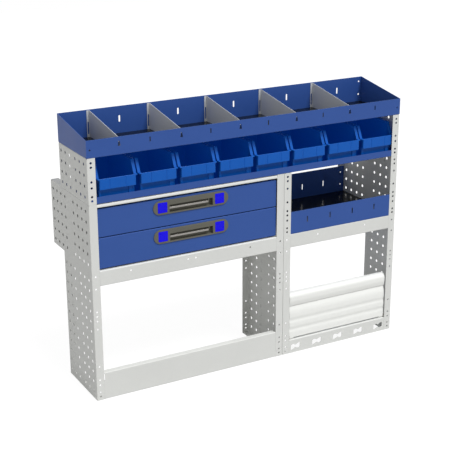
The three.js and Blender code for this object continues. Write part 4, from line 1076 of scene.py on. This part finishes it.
outer = [
    (-3, 16, 3, 5, BIN_LOW), (-0.6, 13.6, 0.6, 6, BIN_LOW + 1), (0, 13, 0, 6, BIN_LOW + 3),
    (0, 13, 0, 6, 765.5), (0, 0.8, 0, 4, 766.6), (0, 0, 0, 4, 767.6, 1.5), (0, 0, 0, 4, rim_height(4.2), 1.5),
]
rim = [
    (1.2, 0, 0, 4, rim_height(3.2), 0.3), (5.9, 0, 0, 3, rim_height(3.0)), (6.5, 0, 0, 3, rim_height(2.2)),
    (6.5, 0, 0, 3, rim_height(0.8)), (5.7, 0.6, 0.4, 3, rim_height(0.1)), (-3, 1.6, 1.6, 3, rim_height(0)),
    (-4.1, 2.5, 2.5, 3, rim_height(1.2)), (-4.1, 2.5, 2.5, 3, rim_height(3.0)),
]
inner = [
    (-BIN_WALL, 2.5, 2.5, 3, rim_height(6.0)), (-BIN_WALL, 2.5, 2.5, 3, 770.5),
    (-BIN_WALL, 14.5, 2.5, 3.5, 768.6), (-BIN_WALL, 15.5, 2.5, 3.5, 767.0), (-2.7, 15.7, 2.7, 3.5, 729.0),
    (-4.5, 17.5, 4.5, 4, BIN_FLOOR),
]
rings = [bin_ring(BIN_HALF + out, BIN_FRONT + set_back, BIN_REAR - set_in, *rest)
         for out, set_back, set_in, *rest in outer + rim + inner]
skin = np.array([np.vstack([ring, ring[:1]]) for ring in rings])
bottom = panel(rings[0][:, :2], [], BIN_LOW * Z, X, Y, -Z)
inside = panel(rings[-1][:, :2], [], BIN_FLOOR * Z, X, Y, Z)
walls = skin.reshape(-1, 3), np.zeros((skin.shape[0] * skin.shape[1], 3)), strip(skin)
points, _, triangles = weld([bottom, walls, inside])
solids = [(points, triangles, np.zeros((len(triangles), 3, 3)))]
for x0, x1 in RIBS:
    rib = rounded(rectangle(x0, x1, RIB_FRONT, RIB_REAR), 1.2, 3)
    solids.append(slab(rib, [], BAND_LOW * Z, X, Y, Z, RIB_TALL))
points, triangles, _ = combine(solids)
for i in range(8):
    place_piece(f"bin_{i + 1}", points + (BINS_MIDDLE + (i - 3.5) * BIN_PITCH) * X, triangles, angle=40)
print("bins made,", len(triangles), "triangles each")

# %% [markdown]
# The flap is two extruded aluminium profiles: a ribbed panel and a round grip rail above it. An extrusion
# is a section carried along a line, so each is an outline in Y and Z, rounded as a die would round it, and
# the solid is that outline given the length of the flap as its thickness. The panel also has a knuckle near
# each end, round the hinge pin.

# %% Flap
FLAP_X, FLAP_WALL = (796.0, 1236.3), 2.5
PIN_Y, PIN_Z, PIN_HOLE, KNUCKLE, KNUCKLE_LENGTH = 8.5, 60.0, 2.3, 4, 18
GRIP_Y, GRIP_Z, GRIP_RADIUS = 21.5, 224.3, 18
GRIP_REAR, GRIP_LOW, GRIP_FOOT, GRIP_FRONT, SHOULDER = 32, 191.3, 7.3, 3.5, 209.3


def extruded(outline, holes=()):
    return slab(outline, holes, FLAP_X[1] * X, Y, Z, X, FLAP_X[1] - FLAP_X[0])


face = np.array([
    (4.5, 61), (4.5, 84), (6.5, 94.5), (4.5, 105), (4.5, 121.5), (6.5, 132), (4.5, 142.5), (4.5, 161),
    (5.7, 172), (10.4, 191),
])
soft = np.array([0.6, 4, 5, 4, 4, 5, 4, 5, 5, 0.8])
ribbed = np.vstack([face, face[::-1] + (FLAP_WALL, 0)])
ribbed = rounded(ribbed, np.concatenate([soft, soft[::-1]]), 5)
knuckle, pin_hole = circle(PIN_Y, PIN_Z, KNUCKLE, 24), circle(PIN_Y, PIN_Z, PIN_HOLE, 20)
knuckle_ends = FLAP_X[0] + 1 + KNUCKLE_LENGTH, FLAP_X[1] - 1
knuckles = [slab(knuckle, [pin_hole], x * X, Y, Z, X, KNUCKLE_LENGTH) for x in knuckle_ends]
points, triangles, _ = combine([extruded(ribbed), *knuckles])
place_piece("flap_panel", points, triangles, angle=40)

sweep = np.radians(np.linspace(180, 60, 22))
turn = np.stack([np.cos(sweep), np.sin(sweep)], axis=1)


def grip_outline(inset):
    """Foot, front shoulder, round top and rear, all set in by inset."""
    top = (GRIP_Y, GRIP_Z) + (GRIP_RADIUS - inset) * turn
    rear, low = GRIP_REAR - inset, GRIP_LOW + inset
    front = [(rear, low), (GRIP_FOOT + inset, low), (GRIP_FRONT + inset, SHOULDER)]
    return np.vstack([front, top[:-1], [(rear, top[-1, 1])]])


grip, bore = grip_outline(0), grip_outline(FLAP_WALL)
radii = np.array([0.5, 2.0, 5.0] + [0.2] * (len(grip) - 4) + [0.5])
points, triangles, _ = extruded(rounded(grip, radii, 4), [rounded(bore, 1.0, 3)])
place_piece("flap_grip_rail", points, triangles, angle=40)
print("flap made")

# %% [markdown]
# The flap turns on two pins. Each pin passes through the ear of a small bracket that stands on the kick
# rail. The bracket is an upright ear with a round hole and a foot with a screw hole.

# %% Hinge brackets and pins
EAR, FOOT_TOP, FOOT_THICK, FOOT_REACH, PIN_RADIUS, PIN_REACH = 2, 56.3, 1.5, 20, 2, 15.4
ear_outline = [(1.8, 54.8), (25.8, 54.8), (25.8, 64), (16, 70.8), (1.8, 70.8)]
ear_outline = rounded(ear_outline, [0.5, 0.5, 3, 5, 3], 6)
for word, side, edge in (("left", 1, deep0), ("right", -1, deep1)):
    near = edge + side * 2 * CLEAR
    ear = slab(ear_outline, [pin_hole], near * X, Y, Z, -side * X, EAR)
    foot_x = sorted((near + side * EAR, near + side * FOOT_REACH))
    foot_outline = rounded(rectangle(*foot_x, 13.8, 25.8), 2, 5)
    screw = circle(near + side * 12, 19.8, 2.2, 14)
    foot = slab(foot_outline, [screw], FOOT_TOP * Z, X, Y, Z, FOOT_THICK)
    points, triangles, _ = combine([ear, foot])
    place_piece(f"flap_bracket_{word}", points, triangles)
    end = edge + side * PIN_REACH
    pin = slab(circle(PIN_Y, PIN_Z, PIN_RADIUS, 20), [], end * X, Y, Z, side * X, abs(end - near))
    place_piece(f"flap_pin_{word}", *pin[:2])
print("brackets and pins made")
